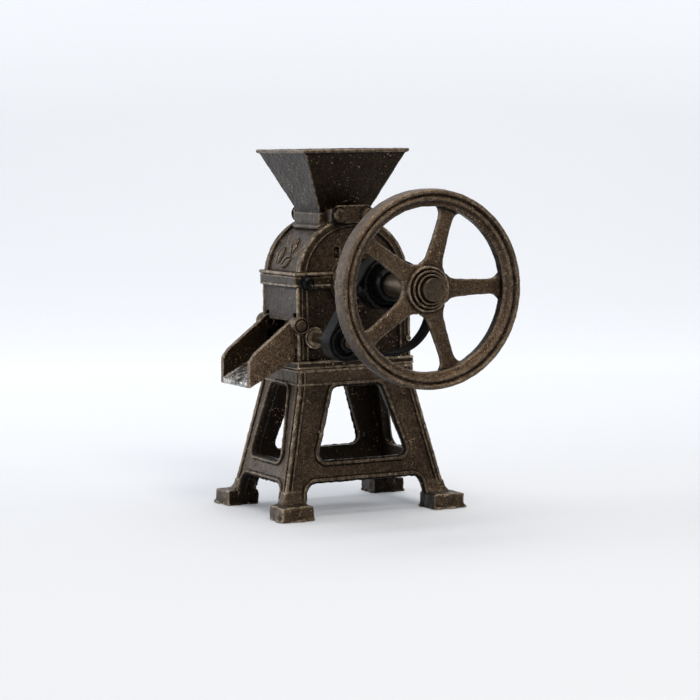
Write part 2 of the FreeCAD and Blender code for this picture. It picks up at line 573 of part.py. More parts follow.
burr_fixed_screws = label(ring_of("burr_fixed_screws", fixed_screw, 3, "34"), "burr_fixed_screws")
burr_moving_screws = label(ring_of("burr_moving_screws", moving_screw, 3, "34"),
                           "burr_moving_screws")
burr_fixed_blank = turned("burr_fixed_blank", [("-6", "28"), ("-6", "burr_r"), ("2", "burr_r"),
                                               ("2", "17"), ("-1", "17")], z="shaft_z")
burr_fixed = label(cut("burr_fixed", burr_fixed_blank, burr_fixed_screws), "burr_fixed")
burr_moving_blank = turned("burr_moving_blank",
                           [("-6 - burr_gap", "28"), ("-6 - burr_gap", "burr_r"), ("-16", "burr_r"),
                            ("-16", "16"), ("-10", "16")], z="shaft_z")
burr_moving = label(cut("burr_moving", burr_moving_blank, burr_moving_screws), "burr_moving")
carrier_blank = turned("carrier_blank", [("-28", "shaft_r"), ("-28", "16"), ("-24", "18"),
                                         ("-24", "38"), ("-16", "38"), ("-16", "shaft_r")],
                       z="shaft_z")
burr_carrier = label(cut("burr_carrier", carrier_blank, burr_moving_screws), "burr_carrier")

feed_plate = turned("feed_plate", [("2", "17.2"), ("2", "46"), ("8", "46"), ("8", "17.2")],
                    z="shaft_z")
feed_tube = turned("feed_tube", [("7", "17.2"), ("7", "21.5"), ("inner_x", "21.5"),
                                 ("inner_x", "17.2")], z="shaft_z")
feed_mouth = box("feed_mouth", "8", "inner_x - 3", "-30", "30", "shaft_z + 2", "shaft_z + 30")
feed_barrel = label(cut("feed_barrel", fuse("feed_raw", feed_plate, cut("feed_open", feed_tube,
                                                                      feed_mouth)),
                        burr_fixed_screws), "feed_barrel")

screw = doc.addObject("PartDesign::Body", "auger_body")
sleeve_sketch = polygon(screw, "sleeve_profile", "XZ_Plane",
                        [("3", "shaft_r"), ("3", "12.6"), ("32", "12.6"), ("32", "shaft_r")])
sleeve = screw.newObject("PartDesign::Revolution", "sleeve")
sleeve.Profile = sleeve_sketch
sleeve.ReferenceAxis = (sleeve_sketch, ["H_Axis"])
sleeve.Angle = 360
vane_sketch = polygon(screw, "vane_outline", "XY_Plane",
                      [("4", "-4"), ("7", "-4"), ("31", "4"), ("28", "4")], "12")
vane = screw.newObject("PartDesign::Pad", "vane")
vane.Profile = vane_sketch
vane.Length = 4.2
vanes = screw.newObject("PartDesign::PolarPattern", "vanes")
vanes.Originals = [vane]
vanes.Axis = (plane_of(screw, "X_Axis"), [""])
vanes.Angle = 360
vanes.Occurrences = 5
screw.Tip = vanes
bind(screw, "Placement.Base.z", "shaft_z")
feed_auger = label(screw, "feed_auger")

# ---------------------------------------------------------------- crank and grind adjuster
arm_blank = doc.addObject("PartDesign::Body", "arm_blank")
arm_sketch = polygon(arm_blank, "arm_outline", "YZ_Plane",
                     [("0", "-9"), ("crank_len", "-6.5"), ("crank_len", "6.5"), ("0", "9")], "-92")
arm_pad = arm_blank.newObject("PartDesign::Pad", "arm_pad")
arm_pad.Profile = arm_sketch
arm_pad.Length = 7
arm_blank.Tip = arm_pad
bind(arm_blank, "Placement.Base.z", "shaft_z")
arm_hub = cylinder("arm_hub", "x", "15", "-94", "-83", ("0", "shaft_z"))
arm_eye = cylinder("arm_eye", "x", "13", "-93", "-84", ("crank_len", "shaft_z"))
arm_bore = cylinder("arm_bore", "x", "8", "-100", "-80", ("0", "shaft_z"))
arm_eye_bore = cylinder("arm_eye_bore", "x", "crank_pin_r", "-100", "-80", ("crank_len", "shaft_z"))
crank_arm = label(cut("crank_arm", fuse("arm_raw", arm_blank, arm_hub, arm_eye), arm_bore,
                      arm_eye_bore), "crank_arm")
crank_nut = label(turned("crank_nut", [("-94", "8"), ("-94", "12.5"), ("-101", "12.5"),
                                       ("-102", "11.5"), ("-102", "8")], z="shaft_z"), "crank_nut")
crank_pin = label(turned("crank_pin", [("-84", "0"), ("-84", "crank_pin_r"),
                                       ("grip_end + 4", "crank_pin_r"), ("grip_end + 4", "7.4"),
                                       ("grip_end + 1", "7.4"), ("grip_end", "6"), ("grip_end", "0")],
                         y="crank_len", z="shaft_z"), "crank_pin")
crank_grip = label(turned("crank_grip", [("-94", "crank_pin_r + 0.08"), ("-94", "9.4"), ("-97", "10.4"),
                                         ("-112", "11"), ("-135", "12.6"), ("-160", "12.8"),
                                         ("-185", "11.8"), ("-200", "9.8"), ("-205", "8"),
                                         ("-205.4", "crank_pin_r + 0.08")],
                          y="crank_len", z="shaft_z"), "crank_grip")
adjust_blank = turned("adjust_blank", [("-52.4", "18.06"), ("-52.4", "23"), ("-53.9", "24.5"),
                                       ("-62", "24.5"), ("-63.5", "23"), ("-63.5", "18.06")],
                      z="shaft_z")
notch = cylinder("notch", "x", "3.4", "-68", "-48", ("26.4", "0"))
notches = []
for i in range(8):
    turned_notch = doc.addObject("Part::Compound", "notch_%d" % i)
    turned_notch.Links = [notch]
    turned_notch.Placement = FreeCAD.Placement(Vector(0, 0, 0),
                                               FreeCAD.Rotation(Vector(1, 0, 0), 22.5 + 45 * i))
    bind(turned_notch, "Placement.Base.z", "shaft_z")
    notches.append(turned_notch)
adjust_ring = label(cut("adjust_ring", adjust_blank, *notches), "adjust_ring")

# ---------------------------------------------------------------- countershaft group
counter_shaft = label(turned("counter_shaft", [("-48", "0"), ("-48", "counter_r"),
                                               ("122.6", "counter_r"), ("123.4", "counter_r - 1"),
                                               ("123.4", "0")], y="counter_y", z="counter_z"),
                      "counter_shaft")
small_pulley = label(turned("small_pulley",
                            [("belt_x - 2", "counter_r"), ("belt_x - 2", "small_pulley_r - 1"),
                             ("belt_x - 1", "small_pulley_r"),
                             ("belt_x + belt_wide + 1", "small_pulley_r"),
                             ("belt_x + belt_wide + 2", "small_pulley_r - 1"),
                             ("belt_x + belt_wide + 2", "small_pulley_r - 3"),
                             ("belt_x + belt_wide - 1", "small_pulley_r - 4.5"),
                             ("belt_x + belt_wide - 1", "10"), ("120", "8.6"), ("121", "7.8"),
                             ("121", "counter_r")], y="counter_y", z="counter_z"), "small_pulley")
sweep_body = doc.addObject("PartDesign::Body", "sweep_body")
sweep_sketch = polygon(sweep_body, "sweep_profile", "XZ_Plane",
                       [("-26", "counter_r"), ("-26", "7.5"), ("26", "7.5"), ("26", "counter_r")])
sweep_sleeve = sweep_body.newObject("PartDesign::Revolution", "sweep_sleeve")
sweep_sleeve.Profile = sweep_sketch
sweep_sleeve.ReferenceAxis = (sweep_sketch, ["H_Axis"])
sweep_sleeve.Angle = 360
blade_sketch = polygon(sweep_body, "blade_outline", "XY_Plane",
                       [("-24", "-1.2"), ("24", "-1.2"), ("24", "1.2"), ("-24", "1.2")], "7")
blade = sweep_body.newObject("PartDesign::Pad", "blade")
blade.Profile = blade_sketch
blade.Length = 6.4
blades = sweep_body.newObject("PartDesign::PolarPattern", "blades")
blades.Originals = [blade]
blades.Axis = (plane_of(sweep_body, "X_Axis"), [""])
blades.Angle = 360
blades.Occurrences = 4
sweep_body.Tip = blades
bind(sweep_body, "Placement.Base.y", "counter_y")
bind(sweep_body, "Placement.Base.z", "counter_z")
sweeper = label(sweep_body, "sweeper")

# ---------------------------------------------------------------- chute
cheek_line = [("-62.2", "153.6"), ("-62.2", "183"), ("-56", "194"), ("-60", "195.4"),
              ("-69", "190.4"), ("-105.3", "162.5"), ("lip_y + 0.5", "154"), ("lip_y", "127.4")]
cheek = prism_x("cheek", cheek_line, "cheek_in", "cheek_out")
cheek_eye = cylinder("cheek_eye", "x", "8", "cheek_in", "cheek_out", ("pivot_y", "pivot_z"))
cheek_half = fuse("cheek_half", cheek, cheek_eye)
trough = prism_x("trough", [("-62.2", "153.6"), ("-62.2", "158.8"), ("lip_y", "132.6"),
                            ("lip_y", "127.4")], "-cheek_in", "cheek_in")
pin_hole = cylinder("pin_hole", "x", "pin_r + fit", "-60", "60", ("pivot_y", "pivot_z"))
chute = label(cut("chute", fuse("chute_raw", cheek_half, mirror("cheek_far", cheek_half, "x"), trough),
                  pin_hole), "chute")


# ---------------------------------------------------------------- drive belt
def belt_face(outset):
    """The outline round both pulleys and the slack run's bow, at a distance outside them."""
    rounds = [(Vector(0, num("shaft_z"), 0), num("main_pulley_r") + outset),
              (Vector(num("counter_y"), num("counter_z"), 0), num("small_pulley_r") + outset),
              (Vector(num("slack_y"), num("slack_z"), 0), num("slack_r") + outset)]

    def spot(which, turn):
        centre, radius = rounds[which]
        return Vector(centre.x + radius * math.cos(turn), centre.y + radius * math.sin(turn), 0)

    leaves = []
    for i in range(3):
        (one, r_one), (two, r_two) = rounds[i], rounds[(i + 1) % 3]
        way = two - one
        leaves.append(math.atan2(way.y, way.x) - math.acos((r_one - r_two) / way.Length))
    edges = []
    for i in range(3):
        start, end = leaves[i - 1], leaves[i]
        while end < start:
            end += 2 * math.pi
        edges.append(Part.Arc(spot(i, start), spot(i, (start + end) / 2), spot(i, end)).toShape())
        edges.append(Part.LineSegment(spot(i, end), spot((i + 1) % 3, leaves[i])).toShape())
    return Part.Face(Part.Wire(edges))


gap_in = num("belt_gap")
belt_flat = belt_face(gap_in + num("belt_thick")).cut(belt_face(gap_in))
belt_shape = belt_flat.extrude(Vector(0, 0, num("belt_wide")))
drive_belt = doc.addObject("Part::Feature", "drive_belt")
drive_belt.Shape = belt_shape
drive_belt.Placement = FreeCAD.Placement(Vector(num("belt_x"), 0, 0),
                                         FreeCAD.Rotation(Vector(0, 1, 0), Vector(0, 0, 1),
                                                          Vector(1, 0, 0), "ZXY"))
label(drive_belt, "drive_belt")

# ---------------------------------------------------------------- check and write
doc.recompute()
for obj in doc.Objects:
    if "Invalid" in obj.State or "Error" in obj.State:
        raise RuntimeError("%s did not compute: %s" % (obj.Name, obj.State))
for obj in NODES:
    shape = obj.Shape
    if shape.isNull() or not shape.isValid() or not shape.Solids:
        raise RuntimeError("%s has no valid shape" % obj.Label)
    print("%-20s solids %2d  volume %9.0f mm3" % (obj.Label, len(shape.Solids), shape.Volume))
    shape.exportStep("parts/%s.step" % obj.Label)
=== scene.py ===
import json
import math
from contextlib import contextmanager
from functools import partial

import bmesh
import bpy
import numpy as np
from bpy.props import FloatProperty, FloatVectorProperty, IntProperty, PointerProperty
from bpy.types import Operator, Panel, PropertyGroup
from mathutils import Matrix, Vector

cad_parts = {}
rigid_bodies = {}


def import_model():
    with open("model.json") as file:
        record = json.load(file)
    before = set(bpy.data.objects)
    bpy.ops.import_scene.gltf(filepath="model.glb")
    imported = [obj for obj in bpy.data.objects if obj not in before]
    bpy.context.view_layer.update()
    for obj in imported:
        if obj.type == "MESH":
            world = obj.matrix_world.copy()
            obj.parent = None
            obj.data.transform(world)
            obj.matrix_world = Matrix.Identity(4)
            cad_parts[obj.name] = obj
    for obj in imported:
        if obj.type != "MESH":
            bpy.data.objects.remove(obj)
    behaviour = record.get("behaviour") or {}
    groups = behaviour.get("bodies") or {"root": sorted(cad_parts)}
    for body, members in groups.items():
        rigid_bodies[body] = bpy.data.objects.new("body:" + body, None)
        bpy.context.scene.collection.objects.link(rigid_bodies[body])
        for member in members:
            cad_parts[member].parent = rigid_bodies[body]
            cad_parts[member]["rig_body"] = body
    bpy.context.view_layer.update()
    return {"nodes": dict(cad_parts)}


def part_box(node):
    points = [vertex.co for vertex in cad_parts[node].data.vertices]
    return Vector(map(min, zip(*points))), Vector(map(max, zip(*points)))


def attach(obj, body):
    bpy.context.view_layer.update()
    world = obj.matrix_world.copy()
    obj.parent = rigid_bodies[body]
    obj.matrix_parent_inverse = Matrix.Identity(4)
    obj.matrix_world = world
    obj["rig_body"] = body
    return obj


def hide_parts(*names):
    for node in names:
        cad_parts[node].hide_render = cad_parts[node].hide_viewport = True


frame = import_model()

bl_info = {
    "name": "Flywheel Coffee Mill",
    "version": (1, 0, 0),
    "blender": (4, 5, 0),
    "location": "View3D > Sidebar > Coffee Mill",
    "description": "Builds a cast hand crank coffee mill with a flywheel and a belt drive",
    "category": "Add Mesh",
}

NODES = frame["nodes"]
MM = 0.001

SHAFT = (0.0, 0.229)           # (y, z) of the main shaft's axis, in metres
ARCH_Z = 0.23175               # height of the arched housing's axis
BARREL = 57.6 * MM             # radius on which the emblem's beans lie
SUNK = 2 * MM                  # how far the emblem's pieces go into the barrel
RING_SIDE = 1.5 * MM           # corner radius of the bands round the mill
CORNERS = ((1, 1), (1, -1), (-1, 1), (-1, -1))
TURNED_STEP = 1.5 * MM         # longest step along the outline of a turned piece
BEAD_STEP = 1.2 * MM           # step along a bead
BEAD_SIDES = 12                # sides of a round bead
JOIN = 2e-6                    # points closer than this, in metres, become one
NO_PAINTED_SHADE = (900, 901)           # radii in millimetres between which painted shade sits: here none


# ------------------------------------------------------------------ sizes and colours
def distance_property(name, description, default, **more):
    return FloatProperty(name=name, description=description, default=default, subtype="DISTANCE",
                         unit="LENGTH", **more)


def colour_property(name, description, default):
    return FloatVectorProperty(name=name, description=description, default=default, size=3,
                               subtype="COLOR", min=0, max=1)


def angle_property(name, description, degrees):
    return FloatProperty(name=name, description=description, default=math.radians(degrees),
                         subtype="ANGLE", unit="ROTATION")


class MillSizes(PropertyGroup):
    grain: distance_property("Casting grain", "Depth of the cast surface's unevenness", 0.16 * MM, min=0.0)
    melt: distance_property("Melt size", "Grid size that joins and softens a casting", 1.2 * MM, min=0.4 * MM)
    bead: distance_property("Bead radius", "Radius of the raised beads on the stand", 2.0 * MM)
    flash: distance_property("Foot flash", "How far the thin flash stands out at the feet", 3.4 * MM)
    bean: distance_property("Bean length", "Length of a bean in the raised emblem", 20.0 * MM)
    spokes: IntProperty(name="Spokes", description="Number of flywheel spokes", default=5, min=3)


class MillColours(PropertyGroup):
    # iron_dark is the dark tone of the casting; it is also the colour of the painted shade in hollows,
    # creases, on downward faces and inside the chute
    iron_dark: colour_property("Iron, hollows", "Casting colour in its hollows", (0.0105, 0.0060, 0.0032))
    iron_mid: colour_property("Iron, faces", "Casting colour on its faces", (0.070, 0.048, 0.031))
    # the edge colour is partly real wear and partly a painted highlight on convex edges
    iron_wear_and_glint: colour_property("Iron, edges", "Colour where the finish is worn", (0.46, 0.36, 0.25))
    speck: colour_property("Specks", "Bright specks in the cast surface", (0.78, 0.60, 0.36))
    black: colour_property("Black paint", "Pulley, rim bolts and belt", (0.0016, 0.0016, 0.0018))
    wood: colour_property("Grip wood", "Wood of the crank's grip", (0.10, 0.045, 0.02))


class MillStage(PropertyGroup):
    eye: FloatVectorProperty(name="Eye", description="Camera place", size=3, subtype="TRANSLATION",
                             unit="LENGTH", default=(2.2249, -1.07841, 0.37665))
    heading: angle_property("Heading", "Turn of the view about the vertical", 63.83)
    dip: angle_property("Dip", "How far the view looks down", 5.07)
    tilt: angle_property("Tilt", "Roll of the camera", -0.78)
    lens: FloatProperty(name="Lens", description="Focal length in millimetres", default=126.6)


def sizes():
    return bpy.context.scene.mill_sizes


def colours():
    return bpy.context.scene.mill_colours


# ------------------------------------------------------------------ surfaces
def grid_faces(rows, columns, close_rows, close_columns):
    """Quads of a rows x columns grid of points, each axis wrapped where it closes."""
    i = np.arange(rows if close_rows else rows - 1)
    j = np.arange(columns if close_columns else columns - 1)
    a, b = np.meshgrid(i, j, indexing="ij")
    right, up = (b + 1) % columns, (a + 1) % rows
    quads = np.stack([a * columns + b, a * columns + right, up * columns + right, up * columns + b], -1)
    return quads.reshape(-1, 4)


@contextmanager
def edited(mesh):
    """The mesh opened for editing, and written back at the end."""
    work = bmesh.new()
    work.from_mesh(mesh)
    yield work
    work.to_mesh(mesh)
    work.free()


def mesh_from(name, points, quads, painted_shade=0.0):
    """A mesh of numpy points and quads, with doubled points joined and faces turned outwards. The painted
    shade of each point, 0 to 1, says how dark it is painted where shade falls: in creases, grooves and gaps."""
    mesh = bpy.data.meshes.new(name)
    mesh.from_pydata(points.reshape(-1, 3).tolist(), [], quads.tolist())
    shade_amount = np.broadcast_to(np.asarray(painted_shade, float), points.shape[:-1]).ravel()
    mesh.attributes.new("painted_shade", "FLOAT", "POINT").data.foreach_set("value", shade_amount)
    with edited(mesh) as work:
        bmesh.ops.remove_doubles(work, verts=work.verts, dist=JOIN)
        bmesh.ops.dissolve_degenerate(work, edges=work.edges, dist=1e-7)
        bmesh.ops.recalc_face_normals(work, faces=work.faces)
    return mesh


def capped(name, rings):
    """A closed surface through rings of points, with both ends drawn to their middles."""
    around = rings.shape[1]
    ends = rings.mean(1, keepdims=True)
    points = np.concatenate([np.repeat(ends[:1], around, 1), rings, np.repeat(ends[-1:], around, 1)])
    return mesh_from(name, points, grid_faces(len(points), around, False, True))


def shape_object(name, mesh):
    obj = bpy.data.objects.new(name, mesh)
    bpy.context.scene.collection.objects.link(obj)
    return obj


def softened(profile, radius, steps=4):
    """A profile whose inner corners are rounded: each corner P becomes the parabola through the
    points at distance radius along its two sides, (1-t)^2 A + 2t(1-t) P + t^2 B."""
    p = np.array(profile, float)
    before, after = p[:-2] - p[1:-1], p[2:] - p[1:-1]
    reach_a = np.minimum(radius / np.maximum(np.linalg.norm(before, axis=1), 1e-12), 0.45)
    reach_b = np.minimum(radius / np.maximum(np.linalg.norm(after, axis=1), 1e-12), 0.45)
    a = p[1:-1] + before * reach_a[:, None]
    b = p[1:-1] + after * reach_b[:, None]
    t = np.linspace(0, 1, steps + 1)[None, :, None]
    arcs = (1 - t) ** 2 * a[:, None] + 2 * t * (1 - t) * p[1:-1][:, None] + t ** 2 * b[:, None]
    return np.vstack([p[:1], arcs.reshape(-1, 2), p[-1:]])


def lathe(name, profile, centre=SHAFT, radius=0.0, turns=96, shaded_radii=(1.0, 2.0)):
    """A turned surface about an axis along X: (x, r) of the profile goes to
    (x, cy + r cos a, cz + r sin a) for a from 0 to 2 pi, with painted shade between two radii."""
    p = softened(profile, radius) if radius else np.array(profile, float)
    a = np.linspace(0, 2 * np.pi, turns, endpoint=False)
    x = np.repeat(p[:, :1], turns, 1)
    y = centre[0] + p[:, 1:2] * np.cos(a)
    z = centre[1] + p[:, 1:2] * np.sin(a)
    points = np.stack([x, y, z], -1)
    closed = bool(np.allclose(p[0], p[-1]))
    if closed:
        points = points[:-1]
    r = p[:len(points), 1:2]
    painted_shade = np.repeat(((r > shaded_radii[0]) & (r < shaded_radii[1])).astype(float), turns, 1)
    return mesh_from(name, points, grid_faces(len(points), turns, closed, True), painted_shade)


def stepped(path, step, closed):
    """The same path with points at even distances along it."""
    path = np.array(path, float)
    if closed:
        path = np.vstack([path, path[:1]])
    along = np.concatenate([[0.0], np.cumsum(np.linalg.norm(np.diff(path, axis=0), axis=1))])
    count = max(int(along[-1] / step), 4)
    at = np.linspace(0, along[-1], count + 1)
    if closed:
        at = at[:-1]
    return np.stack([np.interp(at, along, path[:, k]) for k in range(3)], -1)


def tube(name, path, normal, radius, closed=False, uneven=0.0, skirt=0.0):
    """A bead along a flat path: path + r (cos a N + sin a B), with N the plane's normal and B the
    cross of the tangent and N; open ends taper to a point. With a skirt its section is a ridge
    h(s) = r exp(-(s / 0.8 r)^4) over a thin skirt that dips under the face at skirt x r."""
    path = stepped(path, BEAD_STEP, closed)
    n = np.array(normal, float) / np.linalg.norm(normal)
    if closed:
        tangent = np.roll(path, -1, 0) - np.roll(path, 1, 0)
    else:
        tangent = np.gradient(path, axis=0)
    tangent /= np.linalg.norm(tangent, axis=1)[:, None]
    side = np.cross(tangent, n)
    r = radius * (1 + uneven * waves(path, 0.009, 5) + 0.6 * uneven * waves(path, 0.0035, 6))
    if not closed:
        path = np.vstack([path[:1], path, path[-1:]])
        side = np.vstack([side[:1], side, side[-1:]])
        r = np.concatenate([[1e-6], r, [1e-6]])
    shade_amount = np.zeros(BEAD_SIDES)
    if skirt:
        s = np.linspace(-skirt, skirt, 17)
        across = np.concatenate([s, [skirt * 0.8, -skirt * 0.8]])
        height = 0.08 + 1.02 * np.exp(-(s / 0.8) ** 4) - 0.5 * (s / skirt) ** 6
        height = np.concatenate([height, [-0.9, -0.9]])
        # painted shade at both edges of the skirt and on its two under points, where the bead meets the face
        shade_amount = np.concatenate([np.clip((np.abs(s) - 0.75) / 0.25, 0, 1), [1.0, 1.0]])
    else:
        a = np.linspace(0, 2 * np.pi, BEAD_SIDES, endpoint=False)
        across, height = np.sin(a), np.cos(a)
    ring = height[None, :, None] * n + across[None, :, None] * side[:, None, :]
    points = path[:, None, :] + r[:, None, None] * ring
    return mesh_from(name, points, grid_faces(len(path), len(across), closed, True),
                     np.repeat(shade_amount[None], len(path), 0))


def rounded_loop(corners, radius, steps=8, between=6):
    """A closed path through corners in the plane, each rounded to the given radius and each
    straight run divided evenly."""
    c = np.array(corners, float)
    to_last = np.roll(c, 1, 0) - c
    to_next = np.roll(c, -1, 0) - c
    to_last /= np.linalg.norm(to_last, axis=1)[:, None]
    to_next /= np.linalg.norm(to_next, axis=1)[:, None]
    half = 0.5 * np.arccos(np.clip((to_last * to_next).sum(1), -1, 1))
    back = radius / np.tan(half)
    a = c + to_last * back[:, None]
    b = c + to_next * back[:, None]
    middle = c + (to_last + to_next) / np.linalg.norm(to_last + to_next, axis=1)[:, None] \
        * (radius / np.sin(half))[:, None]
    t = np.linspace(0, 1, steps + 1)[None, :, None]
    ray_a, ray_b = a - middle, b - middle
    spread = np.pi - 2 * half
    weight_a = np.sin((1 - t) * spread[:, None, None]) / np.sin(spread)[:, None, None]
    weight_b = np.sin(t * spread[:, None, None]) / np.sin(spread)[:, None, None]
    arcs = middle[:, None] + weight_a * ray_a[:, None] + weight_b * ray_b[:, None]
    u = np.linspace(0, 1, between + 1)[None, 1:-1, None]
    runs = b[:, None] * (1 - u) + np.roll(a, -1, 0)[:, None] * u
    return np.concatenate([arcs, runs], 1).reshape(-1, c.shape[1])


def rectangle(hx, hy, cy=0.0):
    return [(-hx, cy - hy), (hx, cy - hy), (hx, cy + hy), (-hx, cy + hy)]


def band(level, hx, hy, radius):
    """A bead that runs level round the mill."""
    ring = rounded_loop(rectangle(hx, hy), RING_SIDE)
    return tube("band", np.c_[ring, np.full(len(ring), level)], (0, 0, 1), radius * MM, closed=True,
                uneven=0.05)


def waves(points, wavelength, seed, count=14):
    """Smooth noise: sines of k.p + phase over random directions k of about one wavelength, added up
    and divided by the root of their number."""
    rng = np.random.default_rng(seed)
    k = rng.normal(size=(count, 3))
    k *= (2 * np.pi / wavelength * rng.uniform(0.7, 1.6, count) / np.linalg.norm(k, axis=1))[:, None]
    phase = rng.uniform(0, 2 * np.pi, count)
    total = np.zeros(len(points))
    for direction, shift in zip(k, phase):
        total += np.sin(points @ direction + shift)
    return total / math.sqrt(count)


def copy_of(node):
    """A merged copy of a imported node's mesh; the node itself is left alone."""
    mesh = NODES[node].data.copy()
    mesh.materials.clear()
    with edited(mesh) as work:
        bmesh.ops.remove_doubles(work, verts=work.verts, dist=JOIN)
    return mesh


def joined(name, meshes):
    """One mesh holding several, side by side."""
    work = bmesh.new()
    for mesh in meshes:
        work.from_mesh(mesh)
    mesh = bpy.data.meshes.new(name)
    work.to_mesh(mesh)
    work.free()
    return mesh


def values(mesh, key):
    """A mesh's coordinates ("co") or normals ("normal") as rows of three."""
    flat = np.empty(len(mesh.vertices) * 3, np.float32)
    mesh.vertices.foreach_get(key, flat)
    return flat.reshape(-1, 3)


def put_points(mesh, points):
    mesh.vertices.foreach_set("co", points.ravel())
    mesh.update()


def unevenness(points, seed):
    """Two scales of smooth noise."""
    return 0.7 * waves(points, 0.011, seed) + 0.45 * waves(points, 0.0032, seed + 7)


def applied(obj):
    """Gives an object the mesh that its modifiers make, and removes them."""
    bpy.context.view_layer.update()
    mesh = bpy.data.meshes.new_from_object(obj.evaluated_get(bpy.context.evaluated_depsgraph_get()))
    obj.modifiers.clear()
    obj.data = mesh
    return mesh


def melted(name, meshes, cell, rounds=2, seed=1, box=None, inset=0.0):
    """A casting: the meshes are joined on a fine grid, smoothed so corners and creases round off,
    then moved along their normals by two scales of smooth noise, and kept inside the box."""
    obj = shape_object(name, joined(name, meshes))
    grid = obj.modifiers.new("melt", "REMESH")
    grid.mode = "VOXEL"
    grid.voxel_size = cell
    soft = obj.modifiers.new("soften", "SMOOTH")
    soft.factor = 0.5
    soft.iterations = rounds
    mesh = applied(obj)
    mesh.name = name
    points = values(mesh, "co").astype(float)
    depth = sizes().grain
    lift = depth * unevenness(points, seed) - depth - inset
    points += values(mesh, "normal") * lift[:, None]
    put_points(mesh, np.clip(points, np.array(box[0]), np.array(box[1])))
    return obj


def finished(obj, material, body, slot, *nodes):
    """Gives a piece its material and body and hides the nodes that it stands for."""
    obj.data.materials.clear()
    obj.data.materials.append(material)
    obj.data.polygons.foreach_set("use_smooth", [True] * len(obj.data.polygons))
    if nodes:
        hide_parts(*nodes)
    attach(obj, body)
    return obj


def cast_node(node, name, finish, cell, seed, extra=(), body="frame", inset=0.0):
    """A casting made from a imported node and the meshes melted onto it."""
    low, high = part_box(node)
    obj = melted(name, [copy_of(node), *extra], cell, seed=seed, box=(low, high), inset=inset)
    return finished(obj, material(finish), body, "casting", node)


def beading(name, meshes, seed, finish):
    """The raised beads of a casting, as one uneven piece of the frame."""
    obj = shape_object(name, joined(name, meshes))
    points = values(obj.data, "co").astype(float)
    lift = sizes().grain * unevenness(points, seed)
    put_points(obj.data, points + values(obj.data, "normal") * lift[:, None])
    return finished(obj, material(finish), "frame", "casting")


def rounded_node(node, name, width, finish, slot, bend=28.0):
    """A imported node's shape with its sharp edges rounded by a bevel."""
    obj = shape_object(name, copy_of(node))
    flat = obj.modifiers.new("flatten", "DECIMATE")
    flat.decimate_type = "DISSOLVE"
    flat.angle_limit = math.radians(1.0)
    edge = obj.modifiers.new("edge", "BEVEL")
    edge.width = width * MM
    edge.segments = 3
    edge.limit_method = "ANGLE"
    edge.angle_limit = math.radians(bend)
    edge.harden_normals = False
    edge.use_clamp_overlap = True
    mesh = applied(obj)
    finished(obj, material(finish), NODES[node]["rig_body"], slot, node)
    mesh.set_sharp_from_angle(angle=math.radians(40))
    return obj


def fine_outline(points, soft):
    """An (x, r) outline in metres with rounded corners and short steps."""
    fine = softened(points, soft * MM)
    return np.vstack([resample(fine, TURNED_STEP), fine[-1:]])


def spun(obj, finish, body, slot, node):
    """Finishes a turned piece and keeps its sharp corners."""
    finished(obj, material(finish), body, slot, node)
    obj.data.set_sharp_from_angle(angle=math.radians(50))


def turned_node(node, name, profile, finish, slot, soft, axis=(0.0, 229.0), shaded_radii=NO_PAINTED_SHADE):
    """A turned piece in place of a packed one: its (x, r) profile in millimetres, corners
    rounded, spun about its own axis."""
    closed = profile[0][1] > 0
    outline = np.array(profile + (profile[:1] if closed else []), float) * MM
    centre, shaded_radii = np.array([axis, shaded_radii]) * MM
    mesh = lathe(name, fine_outline(outline, soft), centre, turns=112, shaded_radii=shaded_radii)
    spun(shape_object(name, mesh), finish, NODES[node]["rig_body"], slot, node)


def turned_set(node, name, profile, places, finish, slot, soft, shaded_radii=NO_PAINTED_SHADE):
    """Equal turned bolts or pins on both sides of the mill: the (x, r) profile in millimetres is
    spun about an axis through each (y, z) place, and again on the mirror side."""
    outline = fine_outline(np.array(profile, float) * MM, soft)
    made = []
    for place in places:
        centre, shaded_band = np.array([place, shaded_radii]) * MM
        one = lathe(name, outline, centre, turns=56, shaded_radii=shaded_band)
        made += [one, flipped(one, "x")]
    spun(shape_object(name, joined(name, made)), finish, "frame", slot, node)


def resample(profile, step):
    """The profile with long straight runs divided to at most the step."""
    out = []
    for one, two in zip(profile[:-1], profile[1:]):
        n = max(1, int(np.linalg.norm(two - one) / step))
        out.append(one + (two - one) * np.linspace(0, 1, n, endpoint=False)[:, None])
    return np.vstack(out)


